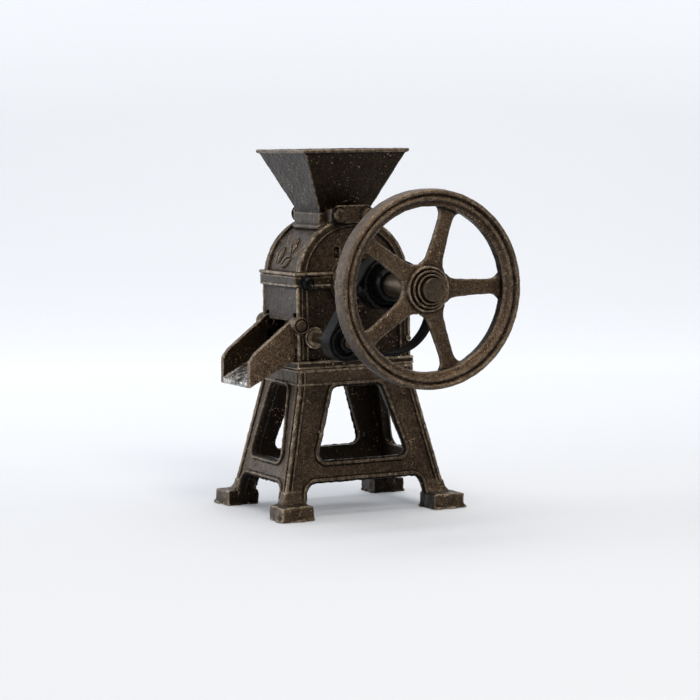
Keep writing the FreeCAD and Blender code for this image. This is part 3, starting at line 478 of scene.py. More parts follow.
# ------------------------------------------------------------------ materials
class Nodes:
    """A short way to write a node tree: each method adds a node and returns its output."""

    def __init__(self, name):
        self.material = bpy.data.materials.new(name)
        self.material.use_nodes = True
        self.tree = self.material.node_tree
        self.tree.nodes.clear()
        self.out = self.tree.nodes.new("ShaderNodeOutputMaterial")
        self.shader = self.tree.nodes.new("ShaderNodeBsdfPrincipled")
        self.tree.links.new(self.shader.outputs[0], self.out.inputs[0])
        self.where = self.tree.nodes.new("ShaderNodeTexCoord").outputs["Object"]

    def surface(self, key):
        """The named output of the surface: its pointiness or its normal."""
        return self.add("NewGeometry").outputs[key]

    def add(self, kind, inputs=(), **settings):
        node = self.tree.nodes.new("ShaderNode" + kind)
        for key, value in settings.items():
            setattr(node, key, value)
        for key, value in dict(inputs).items():
            if isinstance(value, bpy.types.NodeSocket):
                self.tree.links.new(value, node.inputs[key])
            else:
                node.inputs[key].default_value = value
        return node

    def noise(self, scale, detail=4.0, rough=0.55, where=None):
        return self.add("TexNoise", {"Vector": where or self.where, "Scale": scale, "Detail": detail,
                                     "Roughness": rough}).outputs["Fac"]

    def ramp(self, value, low, high, to=(0.0, 1.0)):
        """Linear from low to high, held outside."""
        return self.add("MapRange", {"Value": value, "From Min": low, "From Max": high,
                                     "To Min": to[0], "To Max": to[1]}, clamp=True).outputs["Result"]

    def mix(self, amount, one, two):
        node = self.add("Mix", data_type="RGBA")
        for index, value in ((0, amount), (6, one), (7, two)):
            if isinstance(value, bpy.types.NodeSocket):
                self.tree.links.new(value, node.inputs[index])
            elif index:
                node.inputs[index].default_value = (*value, 1.0)
            else:
                node.inputs[index].default_value = value
        return node.outputs[2]

    def math(self, operation, one, two=0.0):
        return self.add("Math", {0: one, 1: two}, operation=operation).outputs[0]

    def vector(self, operation, one, two, output="Vector"):
        return self.add("VectorMath", {0: one, 1: two}, operation=operation).outputs[output]

    def bump(self, height, distance, strength=1.0, normal=None):
        inputs = {"Height": height, "Distance": distance, "Strength": strength}
        if normal is not None:
            inputs["Normal"] = normal
        return self.add("Bump", inputs).outputs["Normal"]

    def set(self, **inputs):
        for key, value in inputs.items():
            socket = self.shader.inputs[key.replace("_", " ")]
            if isinstance(value, bpy.types.NodeSocket):
                self.tree.links.new(value, socket)
            else:
                socket.default_value = value
        return self.material


def scaled(shade, factor):
    return tuple(v * factor for v in shade)


def rubbed_floor(n, base, rough):
    """Painted shade between the chute's cheeks, and bright rubbed metal on its floor, more to the front."""
    x, y, z = n.add("SeparateXYZ", {"Vector": n.where}).outputs
    inside = n.ramp(n.math("ABSOLUTE", x), 0.0305, 0.0285)
    floor = n.ramp(n.math("SUBTRACT", z, n.math("MULTIPLY", y, 0.521)), 0.1935, 0.1920)
    front = n.ramp(y, -0.080, -0.104, (0.12, 1.0))
    patch = n.ramp(n.noise(130.0, 6.0, 0.7), 0.40, 0.58)
    amount = n.math("MULTIPLY", n.math("MULTIPLY", inside, floor), n.math("MULTIPLY", front, patch))
    # painted shade: the inside between the cheeks is darkened
    shaded_inside = n.mix(n.math("MULTIPLY", inside, 0.8), base, colours().iron_dark)
    return (n.mix(amount, shaded_inside, (0.62, 0.60, 0.57)),
            n.math("SUBTRACT", rough, n.math("MULTIPLY", amount, 0.16)))


def cast_iron(name, shine=0.0, wear_and_glint=1.0, painted_light_level=1.0, specks=1.0, over=None):
    """Bronzed cast iron: brown-black, gritty, with a few bright specks and light edges that are partly real
    wear and partly a painted highlight. It also carries a painted sheen on faces turned to -Y and painted
    shade on downward and inward faces, in creases and where the shade attribute is set; its brightness factor
    makes lit and shaded copies. The function over, where given, changes its colour and roughness."""
    n = Nodes(name)
    c = colours()
    point = n.surface("Pointiness")
    facing = n.add("SeparateXYZ", {"Vector": n.surface("Normal")})
    cloud = n.noise(24.0, 6.0, 0.6)
    coarse = n.noise(210.0, 4.0, 0.6)
    grit = n.noise(720.0, 3.0, 0.7)
    # the brightness factor scales the colours for lit and shaded copies: painted light and shade
    mid = tuple(min(1.0, v * painted_light_level) for v in c.iron_mid)
    dark = tuple(min(1.0, v * painted_light_level) for v in c.iron_dark)
    base = n.mix(n.ramp(cloud, 0.32, 0.68, (0.30, 1.0)), dark, mid)
    base = n.mix(n.ramp(coarse, 0.48, 0.66, (0.0, 0.45)), base, scaled(mid, 1.8))
    base = n.mix(n.ramp(grit, 0.50, 0.36, (0.0, 0.9)), base, scaled(dark, 0.4))
    base = n.mix(n.ramp(grit, 0.56, 0.68, (0.0, 0.5)), base, scaled(mid, 2.8))
    # painted sheen: faces turned to -Y are mixed towards a pale grey, as if they reflected the bright side
    painted_sheen = n.math("MULTIPLY", n.ramp(facing.outputs[1], -0.35, -0.95, (0.0, 0.18)),
                   n.ramp(cloud, 0.30, 0.60))
    base = n.mix(painted_sheen, base, (0.16, 0.155, 0.15))
    # painted shade: faces that look downwards are darkened
    base = n.mix(n.ramp(facing.outputs[2], -0.10, -0.55, (0.0, 0.7)), base, dark)
    # light edges: partly real wear, partly a painted highlight on convex edges
    patchy = n.ramp(n.noise(190.0, 4.0, 0.65), 0.42, 0.62, (0.20, wear_and_glint))
    edge = n.math("MULTIPLY", n.ramp(point, 0.508, 0.560), patchy)
    base = n.mix(edge, base, c.iron_wear_and_glint)
    # painted shade: faces turned in towards the middle, as inside the hopper, are darkened
    level = n.vector("MULTIPLY", n.where, (1.0, 1.0, 0.0))
    inward = n.vector("DOT_PRODUCT", level, n.surface("Normal"), "Value")
    base = n.mix(n.ramp(inward, -0.003, -0.022, (0.0, 0.85)), base, scaled(dark, 0.5))
    # painted shade in hollows and creases
    base = n.mix(n.ramp(point, 0.496, 0.460, (0.0, 0.96)), base, scaled(dark, 0.25))
    # painted shade from the mesh attribute: grooves beside beads, rings round heads, bean creases and
    # outlines
    painted_shade = n.add("Attribute", attribute_name="painted_shade", attribute_type="GEOMETRY").outputs["Fac"]
    base = n.mix(n.math("MULTIPLY", painted_shade, 0.93), base, scaled(dark, 0.2))
    shift = n.add("TexNoise", {"Vector": n.where, "Scale": 90.0, "Detail": 3.0}).outputs["Color"]
    bent = n.vector("ADD", n.vector("MULTIPLY", shift, (0.012, 0.012, 0.012)), n.where)
    cells = n.add("TexVoronoi", {"Vector": bent, "Scale": 620.0, "Randomness": 1.0})
    parts = n.add("SeparateColor", {"Color": cells.outputs["Color"]})
    drift = n.noise(42.0, 3.0, 0.6)
    few = n.math("MULTIPLY", n.ramp(drift, 0.44, 0.60),
                 n.ramp(parts.outputs[0], 0.925 - 0.16 * specks, 0.94))
    size = n.ramp(parts.outputs[1], 0.0, 1.0, (0.16, 0.42))
    spot = n.math("SUBTRACT", size, cells.outputs["Distance"])
    speck = n.math("MULTIPLY", n.ramp(spot, 0.0, 0.10), few)
    base = n.mix(n.math("MULTIPLY", speck, 0.85), base, c.speck)
    rough = n.ramp(n.noise(60.0, 5.0, 0.65), 0.3, 0.7, (0.26 - shine, 0.44 - shine))
    rough = n.math("SUBTRACT", rough, n.math("MULTIPLY", edge, 0.10))
    first = n.bump(coarse, 0.0011, 0.8)
    second = n.bump(grit, 0.0008, 0.95, first)
    third = n.bump(n.ramp(cells.outputs["Distance"], 0.0, 0.5), 0.00025, 0.5, second)
    if over:
        base, rough = over(n, base, rough)
    return n.set(Base_Color=base, Metallic=0.82, Roughness=rough, Normal=third,
                 Specular_IOR_Level=0.18)


def turned_steel(name):
    """Browned steel with fine turning rings and dark spots."""
    n = Nodes(name)
    c = colours()
    point = n.surface("Pointiness")
    cloud = n.noise(60.0, 5.0, 0.6)
    rings = n.add("TexWave", {"Vector": n.where, "Scale": 420.0, "Distortion": 0.6, "Detail": 2.0},
                  bands_direction="X").outputs["Fac"]
    base = n.mix(n.ramp(cloud, 0.3, 0.7), scaled(c.iron_mid, 0.7), (0.095, 0.070, 0.048))
    base = n.mix(n.ramp(n.noise(380.0, 3.0), 0.55, 0.72), base, c.iron_dark)
    base = n.mix(n.ramp(point, 0.52, 0.60, (0.0, 0.6)), base, (0.30, 0.24, 0.175))
    rough = n.ramp(cloud, 0.3, 0.7, (0.30, 0.50))
    first = n.bump(rings, 0.00012, 0.35)
    return n.set(Base_Color=base, Metallic=0.85, Roughness=rough,
                 Normal=n.bump(n.noise(700.0, 3.0), 0.00025, 0.4, first))


def tarnished_bronze(name):
    """Bronze gone brown, brighter where it rubs."""
    n = Nodes(name)
    point = n.surface("Pointiness")
    cloud = n.noise(80.0, 6.0, 0.65)
    base = n.mix(n.ramp(cloud, 0.35, 0.7), (0.020, 0.014, 0.008), (0.085, 0.056, 0.028))
    base = n.mix(n.ramp(point, 0.52, 0.6, (0.0, 0.7)), base, (0.34, 0.25, 0.14))
    return n.set(Base_Color=base, Metallic=0.9, Roughness=n.ramp(cloud, 0.3, 0.7, (0.25, 0.5)),
                 Normal=n.bump(n.noise(500.0, 3.0), 0.0003, 0.5))


def black_paint(name):
    """Satin black paint, chipped to brown at the edges, with a little dust."""
    n = Nodes(name)
    c = colours()
    point = n.surface("Pointiness")
    chips = n.math("MULTIPLY", n.ramp(point, 0.53, 0.60), n.ramp(n.noise(260.0, 4.0), 0.48, 0.60))
    base = n.mix(n.ramp(n.noise(90.0, 5.0), 0.4, 0.75), c.black, scaled(c.black, 3.2))
    base = n.mix(chips, base, (0.22, 0.17, 0.12))
    rough = n.ramp(n.noise(130.0, 4.0), 0.3, 0.7, (0.16, 0.34))
    return n.set(Base_Color=base, Metallic=0.0, Roughness=rough, Specular_IOR_Level=0.17,
                 Normal=n.bump(n.noise(300.0, 4.0, 0.6), 0.0008, 0.8))


def belt_black(name):
    """Black belting: a faint woven grain, matt, with paler scuffs along it."""
    n = Nodes(name)
    c = colours()
    weave = n.add("TexWave", {"Vector": n.where, "Scale": 520.0, "Distortion": 1.2, "Detail": 2.0},
                  bands_direction="X").outputs["Fac"]
    base = n.mix(n.ramp(n.noise(150.0, 4.0), 0.45, 0.75), c.black, (0.007, 0.0065, 0.006))
    base = n.mix(n.ramp(weave, 0.6, 1.0, (0.0, 0.3)), base, (0.014, 0.013, 0.012))
    return n.set(Base_Color=base, Specular_IOR_Level=0.14,
                 Roughness=n.ramp(n.noise(80.0), 0.3, 0.7, (0.36, 0.58)),
                 Normal=n.bump(weave, 0.0003, 0.4, n.bump(n.noise(600.0), 0.0003, 0.4)))


def oiled_wood(name):
    """Dark hardwood with its grain along the grip and an oiled sheen."""
    n = Nodes(name)
    c = colours()
    long = n.add("Mapping", {"Vector": n.where, "Scale": (0.09, 1.0, 1.0)}).outputs[0]
    streak = n.noise(420.0, 6.0, 0.7, long)
    rings = n.add("TexWave", {"Vector": long, "Scale": 55.0, "Distortion": 5.0, "Detail": 3.0},
                  bands_direction="Y").outputs["Fac"]
    base = n.mix(n.ramp(rings, 0.2, 0.9), c.wood, scaled(c.wood, 1.9))
    base = n.mix(n.ramp(streak, 0.5, 0.35, (0.0, 0.7)), base, scaled(c.wood, 0.3))
    return n.set(Base_Color=base, Roughness=n.ramp(streak, 0.3, 0.7, (0.28, 0.48)), Coat_Weight=0.25,
                 Coat_Roughness=0.2, Normal=n.bump(streak, 0.0003, 0.35))


def ground_iron(name):
    """Bare ground iron of the burrs."""
    n = Nodes(name)
    cloud = n.noise(120.0, 5.0)
    base = n.mix(n.ramp(cloud, 0.3, 0.7), (0.12, 0.115, 0.11), (0.30, 0.29, 0.28))
    return n.set(Base_Color=base, Metallic=0.95, Roughness=n.ramp(cloud, 0.3, 0.7, (0.3, 0.5)),
                 Normal=n.bump(n.noise(500.0), 0.0003, 0.4))


def paper_floor(name):
    """Pale studio paper that glows a little, more where it rises, so it looks seamless."""
    n = Nodes(name)
    heading = bpy.context.scene.mill_stage.heading
    height = n.add("SeparateXYZ", {"Vector": n.where}).outputs[2]
    away = n.vector("DOT_PRODUCT", n.where, (-math.sin(heading), math.cos(heading), 0.0), "Value")
    base = n.mix(n.noise(3.0, 3.0), (0.51, 0.525, 0.555), (0.52, 0.535, 0.565))
    far = n.add("VectorMath", {0: n.where}, operation="LENGTH").outputs["Value"]
    glow = n.math("MAXIMUM", n.ramp(away, 0.0, 1.5, (0.15, 0.50)), n.ramp(far, 1.4, 3.4, (0.15, 0.59)))
    glow = n.math("ADD", glow, n.ramp(height, 0.06, 0.60, (0.0, 0.08)))
    return n.set(Base_Color=base, Roughness=0.9, Specular_IOR_Level=0.2,
                 Emission_Color=(0.93, 0.96, 1.0, 1.0), Emission_Strength=glow,
                 Normal=n.bump(n.noise(900.0), 0.00005, 0.1))


def material(name):
    """The named finish, made once."""
    title = "mill_" + name
    return bpy.data.materials.get(title) or FINISHES[name](title)


# The castings share one finish; the brightness factor gives lit and shaded copies of it, painted light and
# shade: the body darker where the flywheel shades it, the wheel, chute and bolts lighter.
FINISHES = {
    "casting": partial(cast_iron, painted_light_level=0.8),
    "casting_stand": partial(cast_iron, painted_light_level=1.40),
    "casting_body": partial(cast_iron, painted_light_level=0.52),
    "casting_arch": partial(cast_iron, painted_light_level=1.10, specks=0.7),
    "casting_hopper": partial(cast_iron, wear_and_glint=0.8, painted_light_level=0.72, specks=0.7),
    "casting_wheel": partial(cast_iron, shine=0.02, painted_light_level=1.75, specks=0.6),
    "casting_inner": partial(cast_iron, wear_and_glint=0.5, painted_light_level=0.8),
    "bolt_iron": partial(cast_iron, shine=0.06, painted_light_level=1.5, specks=0.3),
    "chute_metal": partial(cast_iron, shine=0.04, painted_light_level=2.1, specks=2.6, over=rubbed_floor),
    "steel": turned_steel,
    "bronze": tarnished_bronze,
    "black_iron": black_paint,
    "belt": belt_black,
    "grip": oiled_wood,
    "burr_iron": ground_iron,
    "studio_paper": paper_floor,
}


# ------------------------------------------------------------------ shape of the stand
LEG_TOP = 0.128                # height at which the legs meet the plinth
PLINTH = (0.0444, 0.0624)      # half widths of the plinth over the legs
SPLAY = (0.0201, 0.0295)       # how far the legs stand out beyond it at the floor


def leg_half(z):
    """Half widths (x, y) of the stand's outer faces at height z, in metres."""
    run = (LEG_TOP - z) / LEG_TOP
    return PLINTH[0] + SPLAY[0] * run, PLINTH[1] + SPLAY[1] * run


def on_side(y, z, out=0.0):
    """Points on the +X face of the stand's legs."""
    return np.stack([leg_half(z)[0] + out, y, z], -1)


def on_end(x, z, out=0.0):
    """Points on the -Y face of the stand's legs."""
    return np.stack([x, -(leg_half(z)[1] + out), z], -1)


def flipped(mesh, axis):
    """A copy mirrored in the plane through the origin, turned the right way out again."""
    other = mesh.copy()
    scale = [1.0, 1.0, 1.0]
    scale["xyz".index(axis)] = -1.0
    other.transform(Matrix.Diagonal((*scale, 1.0)))
    with edited(other) as work:
        bmesh.ops.reverse_faces(work, faces=work.faces)
    return other


def fourfold(mesh):
    """The mesh and its mirror images in both upright planes."""
    pair = [mesh, flipped(mesh, "x")]
    return pair + [flipped(one, "y") for one in pair]


def stand_beads():
    """Raised beads round the windows and over the lower openings, and ribs down each corner."""
    r = sizes().bead
    proud = 0.1 * MM
    gap = 2.8 * MM
    reach = 14 * MM
    made = []
    for half_top, half_low, gate, place, normal, axis in (
            (0.0255, 0.051, 0.068, on_side, (1, 0, 0.157), "x"),
            (0.018, 0.036, 0.0505, on_end, (0, -1, 0.23), "y")):
        loop = rounded_loop([(-half_low - gap, 0.054 - gap), (half_low + gap, 0.054 - gap),
                             (half_top + gap, 0.126 + gap), (-half_top - gap, 0.126 + gap)], 0.0100)
        bead = tube("bead", place(loop[:, 0], loop[:, 1], proud), normal, r, closed=True, uneven=0.07,
                    skirt=1.7)
        a = np.linspace(0, np.pi / 2, 12)
        foot = gate - 1.2 * MM
        bend = np.c_[foot - reach * (1 - np.cos(a)), 0.036 - reach + reach * np.sin(a)]
        post = np.c_[np.linspace(foot + 1.5 * MM, foot, 6), np.linspace(0.0145, 0.021, 6)]
        half = np.vstack([post, bend])
        arch = np.vstack([half, half[::-1] * (-1, 1)])
        rail = tube("rail", place(arch[:, 0], arch[:, 1], proud), normal, r, uneven=0.08, skirt=1.7)
        for piece in (bead, rail):
            made += [piece, flipped(piece, axis)]
    z = np.linspace(0.0135, 0.1425, 60)
    hx, hy = leg_half(np.minimum(z, LEG_TOP))
    for name, x, y, normal, size, uneven, skirt in (
            ("rib", hx - 0.9 * MM, -hy + 0.9 * MM, (1, -1, 0), 1.9, 0.06, 0.0),
            ("side_rib", hx, -hy + 5.6 * MM, (1, 0, 0.157), 1.4, 0.08, 1.9),
            ("end_rib", hx - 5.2 * MM, -hy, (0, -1, 0.23), 1.4, 0.08, 1.9)):
        made += fourfold(tube(name, np.stack([x, y, z], -1), normal, size * MM, uneven=uneven, skirt=skirt))
    made.append(band(0.1424, *PLINTH, 1.5))
    made.append(band(0.1290, PLINTH[0] + 0.1 * MM, PLINTH[1] + 0.1 * MM, 1.2))
    return made


def foot_flash(cx, cy, seed):
    """Ragged flash at the foot of a pad: r(a) = pad edge + flash (0.42 + 0.42 noise), where the noise
    is a sum of sines of k a with random phases."""
    rng = np.random.default_rng(seed)
    a = np.linspace(0, 2 * np.pi, 160, endpoint=False)
    hx, hy = 16.2 * MM, 17.4 * MM
    edge = (np.abs(np.cos(a) / hx) ** 8 + np.abs(np.sin(a) / hy) ** 8) ** (-1 / 8)
    noise = sum(np.sin(k * a + rng.uniform(0, 6.28)) / (1 + 0.22 * k) for k in range(2, 18))
    r = edge + sizes().flash * np.clip(0.42 + 0.42 * noise, -0.05, 1.0)
    zs = np.array([0.0, 0.0, 0.7, 1.9, 2.6, 2.6]) * MM
    out = np.array([0.0, 0.975, 1.0, 0.99, 0.93, 0.0])
    x = cx + out[:, None] * r * np.cos(a)
    y = cy + out[:, None] * r * np.sin(a)
    z = zs[:, None] + 0.4 * MM * (zs[:, None] > 0) * np.sin(3 * a + seed)
    return mesh_from("flash", np.stack([x, y, z], -1), grid_faces(6, len(a), False, True))


def ankle(sx, sy):
    """The fillet between a leg and its pad: rounded rectangles whose outer sides draw in as
    (1 - t)^2.2 from the pad's top up to the leg."""
    t = np.linspace(0, 1, 12)
    grow = (1 - t) ** 2.2
    a = np.linspace(0, 2 * np.pi, 64, endpoint=False)
    x0, x1 = 0.0507, 0.0622 + 0.0085 * grow
    y0, y1 = 0.0687, 0.0886 + 0.0070 * grow
    z = (13.5 + 13.5 * t) * MM
    c, s = np.cos(a), np.sin(a)
    box = (np.abs(c) ** 6 + np.abs(s) ** 6) ** (-1 / 6)
    x = sx * ((x0 + x1) / 2)[:, None] + ((x1 - x0) / 2)[:, None] * c * box
    y = sy * ((y0 + y1) / 2)[:, None] + ((y1 - y0) / 2)[:, None] * s * box
    return capped("ankle", np.stack([x, y, np.repeat(z[:, None], len(a), 1)], -1))


def settle_feet(mesh):
    """Lumpy cast feet: below 17.5 mm the outline of each pad draws in by 3.5% of (z / 15 mm)^4 and
    wanders by 2.2% of smooth noise, and its top rises and falls by up to 0.4 mm."""
    p = values(mesh, "co").astype(float)
    foot = (p[:, 2] < 0.0175) & (np.abs(p[:, 0]) > 0.049) & (np.abs(p[:, 1]) > 0.065)
    centre = np.sign(p[:, :2]) * np.array([0.0645, 0.0815])
    away = p[:, :2] - centre
    rise = np.clip(p[:, 2] / 0.015, 0, 1)
    shape = (1 - 0.035 * rise ** 4)[:, None] * away * (1 + 0.022 * waves(p, 0.014, 8))[:, None]
    p[foot, :2] = (centre + shape)[foot]
    bump = 0.4 * MM * waves(p, 0.011, 9) * np.clip((p[:, 2] - 0.009) / 0.004, 0, 1)
    p[foot, 2] += np.minimum(bump, 0.4 * MM)[foot]
    put_points(mesh, p)


class MILL_OT_stand(Operator):
    """Cast stand with splayed legs, windows, beads and foot flash"""
    bl_idname = "mill.stand"
    bl_label = "Stand"

    def execute(self, context):
        pieces = [copy_of("stand")]
        for i, (sx, sy) in enumerate(CORNERS):
            pieces += [foot_flash(sx * 0.0660, sy * 0.0833, 11 + i), ankle(sx, sy)]
        low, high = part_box("stand")
        wide = 2.6 * MM
        box = ((low.x - wide, low.y - wide, 0.0), (high.x + wide, high.y + wide, high.z))
        obj = melted("stand_casting", pieces, sizes().melt, seed=3, box=box)
        settle_feet(obj.data)
        finished(obj, material("casting_stand"), "frame", "casting", "stand")
        beading("stand_beading", stand_beads(), 4, "casting_stand")
        return {"FINISHED"}


# ------------------------------------------------------------------ housing, hopper and chute
def on_barrel(x, angle, radius):
    """Points at a height angle round the arched housing's axis, on its chute side."""
    return np.stack([x, -radius * np.cos(angle), ARCH_Z + radius * np.sin(angle)], -1)


def bean(centre, length, turn):
    """A coffee bean lying on the barrel: a half ellipsoid whose middle line is pressed in by
    exp(-(v/w)^2), wrapped on the arch: (u, v) goes to angle v / R and height h."""
    n = 40
    t, a = np.meshgrid(np.linspace(0, 1, n), np.linspace(0, 2 * np.pi, 48, endpoint=False), indexing="ij")
    r = np.sin(t * np.pi / 2)
    u = 0.5 * length * r * np.cos(a)
    v = 0.34 * length * r * np.sin(a)
    height = 0.16 * length * np.sqrt(np.clip(1 - r ** 2, 0, 1))
    bend = v - 0.05 * length * np.sin(2 * np.pi * u / length)
    height = height * (1 - 0.85 * np.exp(-(bend / (0.05 * length)) ** 2))
    ru = u * math.cos(turn) - v * math.sin(turn)
    rv = u * math.sin(turn) + v * math.cos(turn)
    angle = centre[1] + rv / BARREL
    top = on_barrel(centre[0] + ru, angle, BARREL + height)
    inner = on_barrel((centre[0] + ru)[-1], angle[-1], BARREL - SUNK)
    middle = np.repeat(inner.mean(0)[None], len(inner), 0)
    points = np.concatenate([top, inner[None], middle[None]])
    # painted shade in the bean's crease and round its outline
    shade_amount = np.maximum(np.exp(-(bend / (0.055 * length)) ** 2), np.clip((r - 0.93) / 0.05, 0, 1))
    shade_amount = np.concatenate([shade_amount, np.ones((2, 48))])
    return mesh_from("bean", points, grid_faces(n + 2, 48, False, True), shade_amount)


def leaf(x, angle, length, turn):
    """A sprig leaf on the barrel: width w(u) = sin(pi u)^0.8 about a mid rib."""
    u, s = np.meshgrid(np.linspace(0, 1, 30), np.linspace(-1, 1, 9), indexing="ij")
    width = 0.17 * length * np.sin(np.pi * np.clip(u, 0.001, 0.999)) ** 0.8
    lift = 1.3 * MM * (1 - s ** 2) * np.sin(np.pi * u) ** 0.4 - 0.3 * MM
    du, dv = length * (u - 0.5), width * s
    ru = du * math.cos(turn) - dv * math.sin(turn)
    rv = du * math.sin(turn) + dv * math.cos(turn)
    radius = BARREL + 0.2 * MM
    top, low = (on_barrel(x + ru, angle + rv / radius, radius + rise) for rise in (lift, -SUNK))
    points = np.concatenate([top, low[:, ::-1]], 1)
    shell = mesh_from("leaf", points, grid_faces(30, 18, False, True))
    with edited(shell) as work:
        bmesh.ops.holes_fill(work, edges=[e for e in work.edges if e.is_boundary])
    return shell


def arch_path(radius, x, rise=0.128, count=60):
    """Points on the end face's arch, from one foot at the angle rise to the other:
    (x, R cos a, zc + R sin a)."""
    a = np.linspace(rise, math.pi - rise, count)
    return np.stack([np.full(count, x), radius * np.cos(a), ARCH_Z + radius * np.sin(a)], -1)


class MILL_OT_housing(Operator):
    """Lower and upper housing with ribs, rim band, arch ribs and a raised bean emblem"""
    bl_idname = "mill.housing"
    bl_label = "Housing"

    def execute(self, context):
        z = np.linspace(0.1525, 0.2245, 20)
        trims = []
        for x, y, normal, r, skirt in ((0.0401, -0.0608, (1, -1, 0), 1.7, 0.0),
                                       (0.0405, -0.0514, (1, 0, 0), 1.2, 1.8),
                                       (0.0406, -0.0565, (1, 0, 0), 0.7, 1.8)):
            path = np.stack([np.full(20, x), np.full(20, y), z], -1)
            trims += fourfold(tube("edge", path, normal, r * MM, uneven=0.06, skirt=skirt))
        trims += [band(0.2262, 0.0409, 0.0641, 1.3), band(0.1508, 0.0436, 0.0632, 1.4),
                  band(0.1454, 0.0440, 0.0636, 1.2)]
        stub = lathe("stub", [(0.038, 0.0), (0.038, 0.0034), (0.0438, 0.0034), (0.0446, 0.0026),
                              (0.0448, 0.0)], (0.0592, 0.1695), 0.0008, 24)
        lump = lathe("lump", [(0.0385, 0.0), (0.0385, 0.0026), (0.0468, 0.0026), (0.0478, 0.0012),
                              (0.0478, 0.0)], (-0.0165, 0.1542), 0.0008, 20)
        cast_node("housing_lower", "housing_lower_casting", "casting_body", sizes().melt, 21, (stub, lump))
        beading("housing_lower_beading", trims, 5, "casting_arch")

        trims = []
        for radius, x, r, skirt in ((0.0592, 0.0399, 1.6, 0.0), (0.0528, 0.0403, 1.2, 1.8),
                                    (0.0596, 0.0350, 1.1, 0.0)):
            bead = tube("arch_bead", arch_path(radius, x), (1, 0, 0), r * MM, uneven=0.06, skirt=skirt)
            trims += [bead, flipped(bead, "x")]
        trims.append(band(0.2377, 0.0427, 0.0640, 1.7))
        cast_node("housing_upper", "housing_upper_casting", "casting_arch", 0.9 * MM, 31)
        beading("housing_upper_beading", trims, 6, "casting_arch")
        length = sizes().bean
        relief = [bean((-0.0155, 0.40), length, 1.20), bean((0.0015, 0.30), length, 0.45),
                  bean((0.0060, 0.60), length, 1.85), leaf(-0.0165, 0.74, length, 2.2),
                  leaf(0.0215, 0.48, length, 0.8)]
        emblem = shape_object("bean_emblem", joined("bean_emblem", relief))
        finished(emblem, material("casting_wheel"), "frame", "casting")
        return {"FINISHED"}


class MILL_OT_hopper(Operator):
    """Square cast hopper with its lip, neck and saddle"""
    bl_idname = "mill.hopper"
    bl_label = "Hopper"

    def execute(self, context):
        low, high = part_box("hopper")
        cy = (low.y + high.y) / 2
        half = (high.x - low.x) / 2 - 0.0010
        extra = []
        lip = rounded_loop(rectangle(half, half, cy), 2.2 * MM, 6, 20)
        for drop in (0.0010, 0.0030):
            path = np.c_[lip, np.full(len(lip), high.z - drop)]
            extra.append(tube("lip", path, (0, 0, 1), 1.0 * MM, closed=True))
        t = np.linspace(0, 1, 20)
        run = 0.0266 + (0.0550 - 0.0266) * t - 0.6 * MM
        for sx, sy in CORNERS:
            edge = np.stack([sx * run, cy + sy * run, 0.2975 + 0.0590 * t], -1)
            extra.append(tube("edge", edge, (sx, -sy, 0), 1.1 * MM))
        ring = rounded_loop(rectangle(0.0290, 0.0290, cy), 3.0 * MM, 6, 16)
        seat = ARCH_Z + np.sqrt(0.0600 ** 2 - ring[:, 1] ** 2)
        extra.append(tube("saddle_bead", np.c_[ring, seat], (0, 0, 1), 3.0 * MM, closed=True))
        cast_node("hopper", "hopper_casting", "casting_hopper", 0.95 * MM, 41, extra)
        return {"FINISHED"}


class MILL_OT_chute(Operator):
    """Tilting chute with thick cheeks and a worn floor"""
    bl_idname = "mill.chute"
    bl_label = "Chute"

    def execute(self, context):
        cast_node("chute", "chute_casting", "chute_metal", 0.8 * MM, 51, body="chute")
        return {"FINISHED"}


# ------------------------------------------------------------------ flywheel
def spoke_mesh(angle, x_mid, inner=0.014, outer=0.0810):
    """A tapered spoke: half width w(r) = taper + 5 exp(-(r - hub) / 3.6) + 6 exp((r - rim) / 3.4),
    section a rounded rectangle |y/w|^5 + |x/d|^5 = 1, carried along the radius."""
    r = np.linspace(inner, outer, 60)
    t = (r - inner) / (outer - inner)
    half = (9.2 - 2.7 * t + 5.0 * np.exp(-np.maximum(r * 1000 - 21.5, 0) / 3.6)
            + 6.0 * np.exp(-np.maximum(77.0 - r * 1000, 0) / 3.4)) * MM
    deep = 0.0034 - 0.0003 * t
    a = np.linspace(0, 2 * np.pi, 44, endpoint=False)
    power = 2.0 / 5.0
    cy = np.sign(np.cos(a)) * np.abs(np.cos(a)) ** power
    cx = np.sign(np.sin(a)) * np.abs(np.sin(a)) ** power
    across = half[:, None] * cy
    along = np.repeat(r[:, None], len(a), 1)
    x = x_mid + deep[:, None] * cx
    y = along * math.cos(angle) - across * math.sin(angle)
    z = SHAFT[1] + along * math.sin(angle) + across * math.cos(angle)
    return capped("spoke", np.stack([x, y, z], -1))


